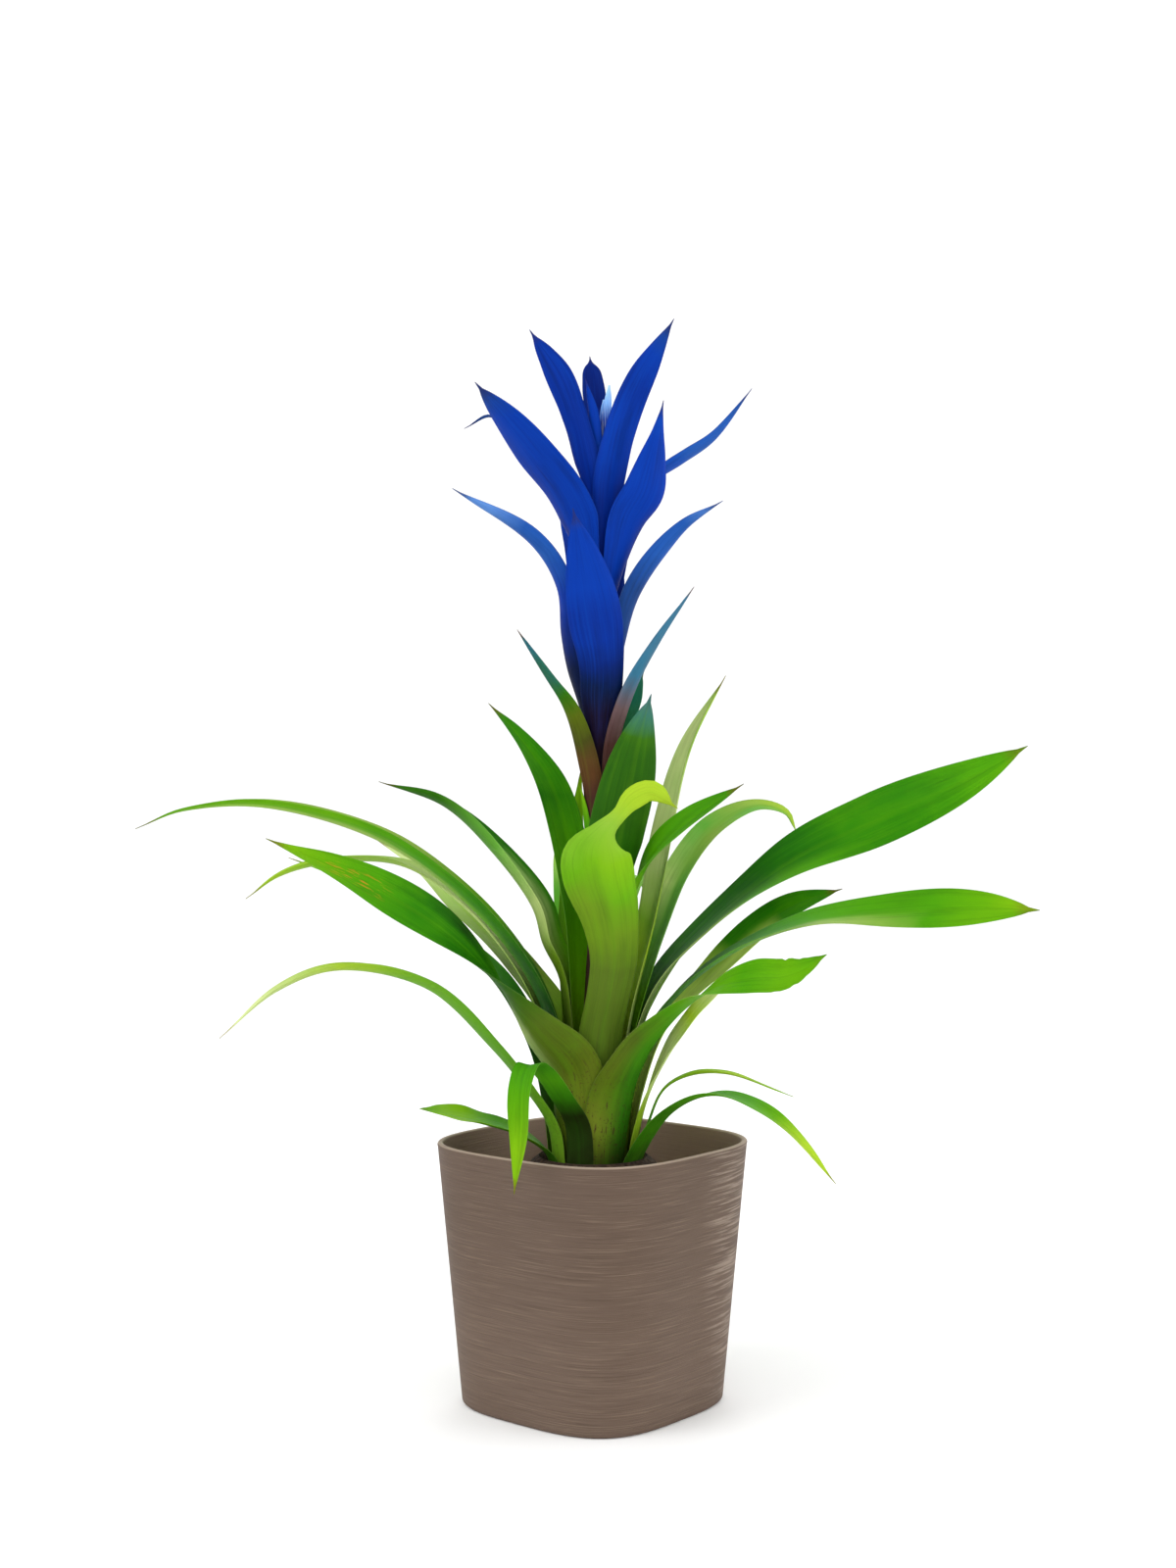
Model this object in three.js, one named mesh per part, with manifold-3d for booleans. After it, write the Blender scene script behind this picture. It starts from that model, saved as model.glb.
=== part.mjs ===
import * as THREE from "three";
import Module from "manifold-3d";

const wasm = await Module();
wasm.setup();

// Sizes in millimetres, angles in degrees.

// Planter: square in plan with very round corners, standing with its sides along X and Y.
const PLANTER_HEIGHT = 127;
const PLANTER_RIM_HALF = 66.3; // half the width across the flats at the rim
const PLANTER_BASE_HALF = 55.6;
const PLANTER_SQUARENESS = 3.3; // 2 gives a circle, more gives squarer corners
const PLANTER_WALL = 2.6;
const PLANTER_FLOOR = 6;

// Nursery pot that stands inside the planter.
const NURSERY_BOTTOM = 6.4;
const NURSERY_HEIGHT = 97;
const NURSERY_RIM_RADIUS = 58.5;
const NURSERY_BASE_RADIUS = 42;
const NURSERY_WALL = 1.1;

// Potting mix, a little mounded up to the plant's neck.
const MIX_EDGE_HEIGHT = 98;
const MIX_NECK_HEIGHT = 119.5;
const NECK_RADIUS = 26.5; // the plain hole that the rosette stands in
const NECK_DEPTH = 7.7;

// Plant. Its marks are measured with the plant's own front towards -Y.
const PLANT_TURN = 40; // the plant's turn in its planter
const BLADE_THICKNESS = 0.7;
const WRAP = 0.92; // the most that half a sheath reaches round the axis, in radians
const ROSETTE_FOOT = 112.2; // height at which the leaves' sheaths start
const CORE_RADIUS = 8.2;
const STALK_RADIUS = 4.1;
const HEAD_SHIFT = 3; // the flower head stands a little to the right of the rosette
const STALK_TOP = 455;

const DEG = Math.PI / 180;
const { clamp, smoothstep, lerp } = THREE.MathUtils;

const plastic = (color, roughness) => new THREE.MeshStandardMaterial({ color, roughness });
const MATERIALS = {
  planter: plastic(0x85715f, 0.55),
  nursery: plastic(0x1d1c1b, 0.6),
  mix: plastic(0x33261c, 0.95),
  leaf: plastic(0x58752c, 0.5),
  stalk: plastic(0x5a4038, 0.6),
  stemBract: plastic(0x3f6b58, 0.5),
  bract: plastic(0x1a48a8, 0.45),
  floret: plastic(0x7f9bd8, 0.5),
};

function meshOf(name, geometry, material) {
  geometry.computeVertexNormals();
  const mesh = new THREE.Mesh(geometry, material);
  mesh.name = name;
  return mesh;
}

function indexedGeometry(points, faces) {
  const geometry = new THREE.BufferGeometry();
  geometry.setAttribute("position", new THREE.Float32BufferAttribute(points.flat(), 3));
  geometry.setIndex(faces.flat());
  return geometry;
}

// A closed body of stacked rings, each a list of points, from the lowest outside ring over the
// rim and down the inside, closed by a fan at each end.
function stackedRings(rings) {
  const count = rings[0].length;
  const points = rings.flat();
  const faces = [];
  for (let k = 0; k < rings.length - 1; k++) {
    for (let i = 0; i < count; i++) {
      const a = k * count + i;
      const b = k * count + ((i + 1) % count);
      faces.push([a, b, b + count], [a, b + count, a + count]);
    }
  }
  const middle = (ring) => [0, 1, 2].map((axis) => ring.reduce((sum, p) => sum + p[axis], 0) / count);
  const first = points.length;
  const last = (rings.length - 1) * count;
  points.push(middle(rings[0]), middle(rings[rings.length - 1]));
  for (let i = 0; i < count; i++) {
    const next = (i + 1) % count;
    faces.push([first, next, i], [first + 1, last + i, last + next]);
  }
  return indexedGeometry(points, faces);
}

// One level ring of the planter, half the width across the flats at the given height.
function roundedSquareRing(half, height, count = 64) {
  const ring = [];
  for (let i = 0; i < count; i++) {
    const turn = (i / count) * 2 * Math.PI;
    const [c, s] = [Math.cos(turn), Math.sin(turn)];
    const n = PLANTER_SQUARENESS;
    const reach = half / (Math.abs(c) ** n + Math.abs(s) ** n) ** (1 / n);
    ring.push([reach * c, reach * s, height]);
  }
  return ring;
}

function planterGeometry() {
  const wallHalf = (height) => lerp(PLANTER_BASE_HALF, PLANTER_RIM_HALF, height / PLANTER_HEIGHT);
  const profile = [
    [PLANTER_BASE_HALF - 3.2, 0],
    [PLANTER_BASE_HALF - 1.2, 0.6],
    [wallHalf(3), 3],
    [wallHalf(45), 45],
    [wallHalf(90), 90],
    [wallHalf(PLANTER_HEIGHT - 1.2), PLANTER_HEIGHT - 1.2],
    [wallHalf(PLANTER_HEIGHT) - 0.8, PLANTER_HEIGHT],
    [wallHalf(PLANTER_HEIGHT) - PLANTER_WALL + 0.6, PLANTER_HEIGHT],
    [wallHalf(PLANTER_HEIGHT) - PLANTER_WALL, PLANTER_HEIGHT - 0.8],
    [wallHalf(60) - PLANTER_WALL, 60],
    [wallHalf(PLANTER_FLOOR + 4) - PLANTER_WALL, PLANTER_FLOOR + 4],
    [wallHalf(PLANTER_FLOOR) - PLANTER_WALL - 4, PLANTER_FLOOR],
  ];
  return stackedRings(profile.map(([half, height]) => roundedSquareRing(half, height)));
}

function nurseryPotGeometry() {
  const top = NURSERY_BOTTOM + NURSERY_HEIGHT;
  const outer = (height) =>
    lerp(NURSERY_BASE_RADIUS, NURSERY_RIM_RADIUS - 2.5, (height - NURSERY_BOTTOM) / NURSERY_HEIGHT);
  const profile = [
    [0, NURSERY_BOTTOM],
    [NURSERY_BASE_RADIUS - 1, NURSERY_BOTTOM],
    [NURSERY_BASE_RADIUS, NURSERY_BOTTOM + 1],
    [outer(top - 13), top - 13],
    [NURSERY_RIM_RADIUS - 0.6, top - 12],
    [NURSERY_RIM_RADIUS, top],
    [NURSERY_RIM_RADIUS - NURSERY_WALL, top],
    [NURSERY_RIM_RADIUS - NURSERY_WALL - 0.5, top - 11],
    [outer(top - 14) - NURSERY_WALL, top - 14],
    [NURSERY_BASE_RADIUS - NURSERY_WALL, NURSERY_BOTTOM + 2],
    [NURSERY_BASE_RADIUS - NURSERY_WALL - 1, NURSERY_BOTTOM + NURSERY_WALL],
    [0, NURSERY_BOTTOM + NURSERY_WALL],
  ];
  const lathe = new THREE.LatheGeometry(profile.map(([r, z]) => new THREE.Vector2(r, z)), 48);
  return lathe.rotateX(Math.PI / 2);
}

// The mix: its sides follow the nursery pot 0.35 mm inside, and its top is lumpy.
function pottingMixGeometry() {
  const slack = NURSERY_WALL + 0.35;
  const count = 48;
  const lump = (turn, radius) =>
    0.9 * Math.sin(5 * turn + radius * 0.31) +
    0.7 * Math.sin(11 * turn - radius * 0.53) * Math.cos(radius * 0.4);
  const ring = (radius, height, bumpy) => {
    const points = [];
    for (let i = 0; i < count; i++) {
      const turn = (i / count) * 2 * Math.PI;
      const rise = bumpy ? lump(turn, radius) : 0;
      points.push([radius * Math.cos(turn), radius * Math.sin(turn), height + rise]);
    }
    return points;
  };
  const top = NURSERY_BOTTOM + NURSERY_HEIGHT;
  const share = (top - 15 - NURSERY_BOTTOM) / NURSERY_HEIGHT;
  const sideRadius = lerp(NURSERY_BASE_RADIUS, NURSERY_RIM_RADIUS - 2.5, share);
  return stackedRings([
    ring(NURSERY_BASE_RADIUS - slack - 1, NURSERY_BOTTOM + slack),
    ring(NURSERY_BASE_RADIUS - slack, NURSERY_BOTTOM + slack + 2),
    ring(sideRadius - slack, top - 15),
    ring(NURSERY_RIM_RADIUS - slack - 2.6, MIX_EDGE_HEIGHT - 2),
    ring(NURSERY_RIM_RADIUS - slack - 4, MIX_EDGE_HEIGHT, true),
    ring(47, MIX_EDGE_HEIGHT + 3, true),
    ring(40, MIX_EDGE_HEIGHT + 8, true),
    ring(35, MIX_EDGE_HEIGHT + 13.5, true),
    ring(30, MIX_NECK_HEIGHT - 1.6, true),
    ring(NECK_RADIUS, MIX_NECK_HEIGHT),
    ring(NECK_RADIUS, MIX_NECK_HEIGHT - NECK_DEPTH),
  ]);
}

// Core of the rosette and the stalk above it. The stalk bends over to the head's axis.
const stalkShift = (height) => HEAD_SHIFT * smoothstep(height, 170, 262);

function flowerStemGeometry() {
  const profile = [
    [CORE_RADIUS - 1, ROSETTE_FOOT],
    [CORE_RADIUS, ROSETTE_FOOT + 2],
    [CORE_RADIUS - 0.4, 135],
    [6.4, 160],
    [STALK_RADIUS + 0.9, 195],
    [STALK_RADIUS + 0.3, 230],
    [STALK_RADIUS, 265],
    [STALK_RADIUS, 300],
    [STALK_RADIUS, 340],
    [STALK_RADIUS, 400],
    [STALK_RADIUS - 0.2, 440],
    [STALK_RADIUS - 0.6, STALK_TOP],
  ];
  const rings = profile.map(([radius, height]) => {
    const ring = [];
    for (let i = 0; i < 20; i++) {
      const turn = (i / 20) * 2 * Math.PI;
      ring.push([stalkShift(height) + radius * Math.cos(turn), radius * Math.sin(turn), height]);
    }
    return ring;
  });
  return stackedRings(rings);
}

// A blade is a thin strip that follows a path of marks [radius, height, azimuth], measured from
// the axis of its group. Azimuth 0 points right, 90 to the back, 270 to the front.
function spineOf(path) {
  const marks = path.map(([radius, height, azimuth]) =>
    new THREE.Vector3(radius * Math.cos(azimuth * DEG), radius * Math.sin(azimuth * DEG), height));
  return new THREE.CatmullRomCurve3(marks, false, "centripetal");
}

// Frames along the spine, carried on without twist: at the foot, across is level and inward
// points at the axis.
function framesAlong(path, rows) {
  const spine = spineOf(path);
  const start = path[0][2] * DEG;
  const across = new THREE.Vector3(-Math.sin(start), Math.cos(start), 0);
  const frames = [];
  const FINE = 8;
  for (let k = 0; k <= rows * FINE; k++) {
    const u = k / (rows * FINE);
    const along = spine.getTangentAt(u);
    across.addScaledVector(along, -across.dot(along)).normalize();
    if (k % FINE === 0) {
      const point = spine.getPointAt(u);
      const inward = new THREE.Vector3().crossVectors(along, across);
      frames.push({ u, point, across: across.clone(), inward });
    }
  }
  return frames;
}

// A value given at equal steps along the blade, read at u on a smooth curve through the steps.
function valueAlong(values, u) {
  const last = values.length - 1;
  if (last < 1) return values[0];
  const place = u * last;
  const k = Math.min(Math.floor(place), last - 1);
  const t = place - k;
  const at = (index) => values[clamp(index, 0, last)];
  const [a, b, c, d] = [at(k - 1), at(k), at(k + 1), at(k + 2)];
  return b + (t * (c - a + t * (2 * a - 5 * b + 4 * c - d + t * (3 * (b - c) + d - a)))) / 2;
}

// Half the width at u: foot at the sheath, width over the middle, then a taper to the tip.
function halfWidthAlong(blade, u) {
  const { foot, width, tip = 0.6, taper = 1.8, shoulder = 0.5 } = blade;
  if (Array.isArray(width)) return Math.max(valueAlong(width, u), tip);
  const opened = lerp(foot, width, smoothstep(u, 0.02, 0.34));
  const past = clamp((u - shoulder) / (1 - shoulder), 0, 1);
  return Math.max(opened * (1 - past ** taper), lerp(opened, tip, past));
}

// Half the angle that the cross section turns through: round the axis at the sheath, cup after it.
function cupAlong(blade, u, sheath) {
  const cups = [].concat(blade.cup);
  return lerp(sheath, valueAlong(cups, u) * DEG, smoothstep(u, 0.1, blade.open ?? 0.5));
}

function bladeGeometry(blade) {
  const { path, rows, columns = 4, roll = [0] } = blade;
  const upper = [];
  const lower = [];
  for (const { u, point, across, inward } of framesAlong(path, rows)) {
    const turn = valueAlong(roll, u) * DEG;
    const side = across.clone().multiplyScalar(Math.cos(turn)).addScaledVector(inward, Math.sin(turn));
    const face = inward.clone().multiplyScalar(Math.cos(turn)).addScaledVector(across, -Math.sin(turn));
    const reach = Math.hypot(point.x, point.y);
    const halfWidth = Math.min(halfWidthAlong(blade, u), WRAP * reach);
    const cup = cupAlong(blade, u, halfWidth / reach);
    for (let j = 0; j <= columns; j++) {
      const bend = cup * ((2 * j) / columns - 1);
      const place = point.clone()
        .addScaledVector(side, (halfWidth / cup) * Math.sin(bend))
        .addScaledVector(face, (halfWidth / cup) * (1 - Math.cos(bend)));
      const normal = face.clone().multiplyScalar(Math.cos(bend)).addScaledVector(side, -Math.sin(bend));
      upper.push(place.clone().addScaledVector(normal, BLADE_THICKNESS / 2).toArray());
      lower.push(place.clone().addScaledVector(normal, -BLADE_THICKNESS / 2).toArray());
    }
  }
  const count = columns + 1;
  const under = upper.length;
  const faces = [];
  const quad = (a, b, c, d) => faces.push([a, b, c], [a, c, d]);
  for (let i = 0; i < rows; i++) {
    for (let j = 0; j < columns; j++) {
      const a = i * count + j;
      faces.push([a, a + count, a + count + 1], [a, a + count + 1, a + 1]);
      faces.push([under + a, under + a + count + 1, under + a + count]);
      faces.push([under + a, under + a + 1, under + a + count + 1]);
    }
    const left = i * count;
    const right = left + columns;
    quad(left, under + left, under + left + count, left + count);
    quad(right, right + count, under + right + count, under + right);
  }
  for (let j = 0; j < columns; j++) {
    const end = rows * count + j;
    quad(j, j + 1, under + j + 1, under + j);
    quad(end, under + end, under + end + 1, end + 1);
  }
  return indexedGeometry(upper.concat(lower), faces);
}

// Rosette, from the innermost leaf outwards. foot and width are half widths, cup and roll are in
// degrees, roll at equal steps from foot to tip. A positive roll lifts the far edge of a leaf on
// the right, a negative one lifts the far edge of a leaf on the left.
const F = ROSETTE_FOOT;
const LEAVES = [
  // inner leaves, upright
  { path: [[9, F, 315], [9.4, 150, 315], [10.2, 200, 315], [13, 250, 315], [22, 289, 315],
    [31, 320, 314], [38.5, 342, 315]],
    foot: 8, width: 16, cup: [30, 30, 35, 30], roll: [0, 0, 0, -16, -30, -30], taper: 2.8,
    shoulder: 0.66, open: 0.7 },
  { path: [[9, F, 140], [9.4, 190, 140], [11.5, 245, 140], [17.5, 276, 140], [28, 302, 140],
    [52, 328, 140], [68, 341, 140]],
    foot: 8, width: 10.5, cup: 26, roll: [0, 0, -10, -25, -20], taper: 2.3, shoulder: 0.55, open: 0.6 },
  { path: [[10.2, F, 335], [11, 150, 335], [13, 190, 335], [18, 235, 335], [31, 265, 335],
    [48, 281.5, 335], [77, 300, 335]],
    foot: 8, width: 12, cup: 28, roll: [0, 0, 0, 8, 42, 56], taper: 2.2, shoulder: 0.62 },
  { path: [[10.2, F, 170], [11, 150, 170], [16, 205, 170], [24.5, 223, 170], [29.5, 240, 170],
    [50, 267.5, 170], [75, 290.5, 170], [106, 301.5, 171]],
    foot: 9, width: [9, 11.5, 15.5, 18, 18, 17, 14.4, 9, 0.6], cup: [40, 42, 48, 52],
    roll: [0, 0, 0, 0, 8, 12] },
  { path: [[11.4, F, 63], [12.5, 150, 63], [16, 190, 63], [22, 232, 66], [30, 270, 71], [42, 308, 72],
    [60, 336, 72]],
    foot: 9, width: 8.6, cup: 28 },
  { path: [[12.6, F, 12], [14.3, 150, 12], [19.5, 190, 12], [30, 235, 12], [37.5, 277, 12],
    [48, 318, 12], [66.5, 353, 12]],
    foot: 8, width: 11, cup: [30, 35, 38, 36], roll: [0, 0, 10, 16, 10], taper: 2.3, shoulder: 0.6 },
  { path: [[11.4, F, 276], [13, 150, 278], [17, 180, 284], [24, 200, 289], [28, 215, 291], [33.3, 230, 286],
    [37.7, 242, 281], [41.1, 254.5, 275], [44, 264, 272.3], [46, 271.5, 272.6], [48, 279, 276.5],
    [49.5, 287, 284.8], [51, 294, 291.4], [54, 297.5, 300], [58, 290.5, 311]],
    foot: 10, width: [10, 10.5, 11, 11.5, 12, 12, 11.5, 11, 11, 11.5, 12.2, 13.2, 14.6, 16.2, 17.6, 16,
      6.6, 3.8, 5.8, 5, 0.6],
    cup: [30, 30, 34, 30, 20, 16], roll: [0, 0, 0, 0, 0, 0, 0, 0, 0, 12, 30], rows: 22 },
  { path: [[12.8, F, 116], [14, 150, 116], [19, 190, 115.5], [28, 232, 113], [33, 265, 108],
    [34, 308, 100]],
    foot: 8, width: 9.5, cup: 28 },
  { path: [[14, F, 18], [16, 150, 18], [22.5, 190, 18], [35, 229, 18], [47, 257, 18], [64, 279, 18],
    [86, 289.5, 18], [102, 286.5, 18], [107, 279, 18]],
    foot: 9, width: 13, cup: [30, 34, 40, 36], roll: [0, 0, 8, 14, 24, 40], tip: 3, taper: 2, rows: 16 },
  // middle leaves, arching
  { path: [[14, F, 182], [16.5, 150, 182], [20.5, 178, 182], [33, 208, 182], [60, 241, 182],
    [102, 272.5, 182], [160, 290, 182], [200, 288, 182], [220, 280, 183]],
    foot: 10, width: 18, cup: [40, 42, 46, 48, 46], taper: 1.7, shoulder: 0.4, rows: 16 },
  { path: [[15.3, F, 5], [17.6, 150, 5], [20.6, 170, 5], [32, 203, 5], [55, 229, 5], [98, 262.5, 5],
    [140, 282.5, 5], [185, 303, 4], [215, 319, 4]],
    foot: 10, width: 15, cup: [30, 24, 20, 16], roll: [0, 0, 4, 16, 50, 78, 72], taper: 3,
    shoulder: 0.62, rows: 16 },
  { path: [[17.8, F, 128], [20.6, 150, 128], [30.5, 183, 128], [60, 206, 128], [110, 233, 128],
    [155, 254, 127], [200, 268, 127]],
    foot: 10, width: 11, cup: 26, roll: [0, 0, 0, -12] },
  { path: [[15.3, F, 240], [18, 140, 240], [20.8, 162, 238.5], [33.6, 181.5, 220], [48, 199.5, 212.5],
    [71, 225.5, 206], [112, 253, 202], [160, 275, 201]],
    foot: 12, width: [12, 14.5, 16, 11.5, 10.6, 12.4, 11.4, 7, 0.6], cup: [30, 30, 22, 20],
    roll: [0, 6, -10, -66, -96, -98, -88], rows: 18 },
  { path: [[16.5, F, 350], [19.5, 150, 350], [23, 168, 350], [41, 197, 350], [70, 220, 350],
    [105, 234.5, 350], [145, 239.5, 350], [190, 242, 350], [212, 241.5, 350]],
    foot: 10, width: 12.2, cup: [30, 24, 20, 16], roll: [0, 0, 0, 3, 6, 19, 38, 51, 54],
    taper: 3.8, shoulder: 0.7, rows: 16 },
  { path: [[17.8, F, 43], [21.2, 150, 44], [29.5, 180, 46], [40, 193, 47], [55, 205.6, 48],
    [76.5, 221.4, 48], [100, 235, 48], [139, 253, 48], [175, 264, 48]],
    foot: 10, width: 9, cup: 26, roll: [0, 0, -10, -30, -34] },
  { path: [[17.8, F, 290], [19, 130, 291], [22, 154, 300], [27, 166, 308], [33, 176, 314], [45, 187.5, 319],
    [56, 196, 321], [67, 202.5, 321], [80.5, 208.5, 321], [96.5, 212, 321], [112, 213.5, 321],
    [123, 217.5, 321], [133, 223.5, 321]],
    foot: 11, width: [11, 12, 12.2, 9.8, 9, 8.8, 9, 8.6, 8.8, 7.4, 1.6], cup: [30, 30, 24, 20],
    roll: [0, 0, 0, 4, 16, 32, 48, 78, 100, 104, 104], rows: 18 },
  { path: [[19, F, 14], [20.6, 130, 14], [24.4, 150, 14], [35.5, 180, 14], [61, 206.5, 14],
    [85, 228.5, 14], [104, 240.5, 14], [128, 247.5, 14]],
    foot: 9, width: 10.6, cup: 24, roll: [0, 0, 8, 34, 52], taper: 2.6, shoulder: 0.6 },
  { path: [[16.5, F, 163], [19, 150, 163], [30, 195, 163], [62, 236, 163], [100, 260, 163],
    [140, 261, 163], [168, 254, 163], [184, 243, 164]],
    foot: 9, width: 10, cup: 32, roll: [0, 0, 0, 0, -20], taper: 3.4, shoulder: 0.6 },
  { path: [[19, F, 84], [23, 150, 84], [40, 198, 84], [78, 234, 82], [120, 249, 80], [162, 247, 80],
    [196, 232, 80]],
    foot: 10, width: 11, cup: 28 },
  // outer leaves, low
  { path: [[19, F, 250], [22, 136, 250], [38, 152, 247], [60, 168, 246], [73.5, 172, 246],
    [80.5, 163, 246], [82, 142, 246], [83, 117, 244.5]],
    foot: 7, width: 6.2, cup: 26, rows: 20, shoulder: 0.74, taper: 1.6 },
  { path: [[20.3, F, 344], [22.8, 130, 344], [26.8, 146, 344], [34, 163, 344], [45, 182, 344],
    [57, 197, 344], [74, 212, 344]],
    foot: 8, width: 8, cup: 24, roll: [0, 10, 35, 40] },
  { path: [[19, F, 200], [22, 134, 200], [33, 152, 198], [51, 174, 196], [83, 203.5, 195],
    [125, 213, 194], [154, 203.5, 194], [179, 183, 194]],
    foot: 9, width: 10.6, cup: 38, taper: 1.6, roll: [0, 0, 0, -6, -10] },
  { path: [[21.6, F, 352], [23, 122, 352], [27, 134, 352], [35, 152, 352], [48, 159.5, 352],
    [66, 160.5, 352], [96, 150.5, 352]],
    foot: 7, width: 4, cup: 30 },
  { path: [[22.8, F, 326], [26.2, 122, 327], [41, 142, 328], [64, 153.5, 328], [85, 152, 328],
    [108, 140, 328], [129, 120, 328]],
    foot: 9, width: 7.4, cup: 24, roll: [0, 0, 0, 6, 8], taper: 2.2 },
  { path: [[20.3, F, 196], [23.5, 121, 197], [38, 131.5, 196], [56, 138, 195], [84, 145, 195]],
    foot: 9, width: 10.5, cup: 26, roll: [0, -10, -12], tip: 3.6, taper: 3, shoulder: 0.7, rows: 10 },
  { path: [[21.6, F, 70], [27, 138, 72], [45, 168, 76], [80, 198, 82], [125, 212, 87], [165, 205, 89],
    [192, 184, 90]],
    foot: 9, width: 10, cup: 28 },
  { path: [[21.6, F, 150], [25, 142, 151], [32, 172, 154], [53, 204, 154.5], [105, 234, 152.5],
    [152, 252, 151], [186, 261, 150]],
    foot: 7, width: 9, cup: 26 },
  { path: [[20.3, F, 98], [24.5, 140, 98], [35, 175, 98], [60, 215, 97], [102, 246, 97], [140, 260, 97],
    [170, 267, 97]],
    foot: 9, width: 11, cup: 26 },
];

// Leaves of the stalk, from the lowest up, measured from the head's axis.
const STEM_BRACTS = [
  { path: [[5.2, 262, 200], [6.6, 276, 200], [8, 289, 200], [9.5, 299, 200]], foot: 4, width: 4,
    cup: 40, rows: 6 },
  { path: [[5.2, 274, 235], [6.5, 288, 235], [8.4, 305, 232], [17, 335, 219], [29, 351.5, 215],
    [46.5, 373, 215]],
    foot: 5.5, width: [5.5, 6.4, 6.7, 6.2, 5, 3.3, 1.9, 0.6], cup: 40 },
  { path: [[5.2, 275, 50], [6.6, 289, 50], [9.2, 310, 48], [14.4, 330, 42], [21.5, 345, 38],
    [27.8, 356, 38]],
    foot: 5.5, width: 9.6, cup: 40, roll: [0, 0, 10, 16], shoulder: 0.66, taper: 2 },
  { path: [[5.2, 287, 330], [7.2, 308, 332], [10, 325, 335], [18.5, 348, 335], [31, 369, 335],
    [49, 394, 335]],
    foot: 5.5, width: 7.4, cup: 40, shoulder: 0.4, taper: 1.6 },
];

const BRACTS = [
  { path: [[5.2, 298, 80], [9.4, 330, 80], [14.5, 357, 80], [18.5, 380, 80], [25, 402, 78],
    [34, 421, 76], [46, 434, 75]],
    foot: 5.5, width: 11.4, cup: [50, 44, 36, 30] },
  { path: [[5.2, 298, 272], [7.4, 320, 272], [11, 339, 274], [15.5, 357, 274.5], [19, 375, 267],
    [23.5, 396, 258.5],
      [34, 430, 249]],
    foot: 5.5, width: [5.5, 7.6, 9.8, 11, 11.4, 12.4, 14.3, 13.3, 10.3, 5.9, 0.6],
    cup: [50, 44, 38, 34], rows: 12 },
  { path: [[5.2, 320, 198], [9.2, 338, 196.5], [15.2, 358, 192.5], [18, 375, 189], [20, 398, 184],
    [33, 419.5, 183], [70, 444, 184]],
    foot: 5.5, width: 10.5, cup: [50, 50, 52, 50], roll: [0, 0, 6, 12], shoulder: 0.45,
    taper: 1.9, rows: 12 },
  { path: [[5.2, 323, 345], [8, 345, 345], [12.5, 370, 345], [18.5, 392, 345], [30, 411, 345],
    [44, 426.5, 345], [60, 436.5, 345]],
    foot: 5.5, width: 10, cup: [50, 50, 46, 40], roll: [0, 0, -18, -24], taper: 1.8 },
  { path: [[5.2, 338, 110], [9.6, 368, 110], [17, 392, 110], [28, 413, 110], [43, 436, 110],
    [58, 460, 109]],
    foot: 5.5, width: 9.5, cup: [50, 40, 30] },
  { path: [[5.2, 350, 68], [9, 376, 68], [16, 400, 68], [29, 424, 68], [47, 446, 68], [63, 460, 68]],
    foot: 5.5, width: 8.4, cup: [50, 40, 30] },
  { path: [[5.2, 352, 222], [6.6, 368, 222], [8.6, 392, 221], [12, 420, 218], [21.5, 440, 216],
    [39.5, 459, 215], [70, 488.5, 215]],
    foot: 5.5, width: 14, cup: [50, 40, 24, 24], roll: [0, 0, 4, 6], shoulder: 0.6, taper: 2.8, rows: 12 },
  { path: [[5.2, 367, 328], [7.6, 390, 327], [12.8, 410, 323], [19.4, 428.6, 322], [28, 442, 325],
      [32.5, 458, 325], [37, 483, 325.5]],
    foot: 5.5, width: [5, 6, 7, 8.4, 10, 11.4, 12, 11, 7.6, 3.4, 0.6], cup: [50, 40, 30, 26],
    roll: [0, 0, -14, -28, -28, -26], rows: 12 },
  { path: [[5.2, 388, 160], [9, 412, 160], [17, 434, 160], [30, 457, 160], [45, 476, 160],
    [58, 484.5, 160], [70, 480, 160]],
    foot: 5.5, width: 7, cup: [50, 40, 34] },
  { path: [[5.2, 395, 15], [9, 415, 15], [16, 436, 15], [28, 450, 15], [44, 461, 15], [60, 473, 15],
    [78, 497, 15]],
    foot: 5.5, width: 9.5, cup: [50, 46, 40], roll: [0, 0, -20, -24], taper: 1.8, shoulder: 0.46 },
  { path: [[5.2, 408, 90], [8.5, 430, 90], [16, 452, 90], [28, 472, 90], [44, 487, 90]],
    foot: 5.5, width: 7.5, cup: [50, 40, 30], rows: 9 },
  { path: [[5.2, 405, 300], [8.8, 432, 302], [12.2, 458, 310], [16.6, 478, 319], [24.5, 496, 324],
    [41.5, 522, 327]],
    foot: 5.5, width: [5.2, 7, 8.6, 9.6, 9.4, 8.6, 8.2, 7.6, 6.2, 3.6, 0.6], cup: [50, 44, 36, 28],
    roll: [0, 0, -5, -20, -28, -26], rows: 12 },
  { path: [[5.2, 421, 226], [6.6, 442, 226], [10, 461, 216], [14, 480, 207], [20, 499, 196],
    [33, 521.5, 183]],
    foot: 5, width: [5, 6, 7.4, 8.6, 8, 7, 6.8, 7.2, 6.6, 4.2, 0.6], cup: [50, 46, 36, 30],
    roll: [0, 0, 12, 30, 36, 38], rows: 12 },
  { path: [[4.45, 448, 245], [5, 466, 244], [6.6, 482, 240], [9.8, 496, 231]],
    foot: 4, width: 3.8, cup: 40, rows: 8 },
  { path: [[4.4, 452, 100], [7.6, 470, 100], [12.5, 488, 100], [20, 505, 100], [25, 514, 100]],
    foot: 4.4, width: [4.2, 5.2, 6, 6.4, 6.4, 6.2, 5.8, 4.6, 0.6], cup: 36, rows: 10 },
];

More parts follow.
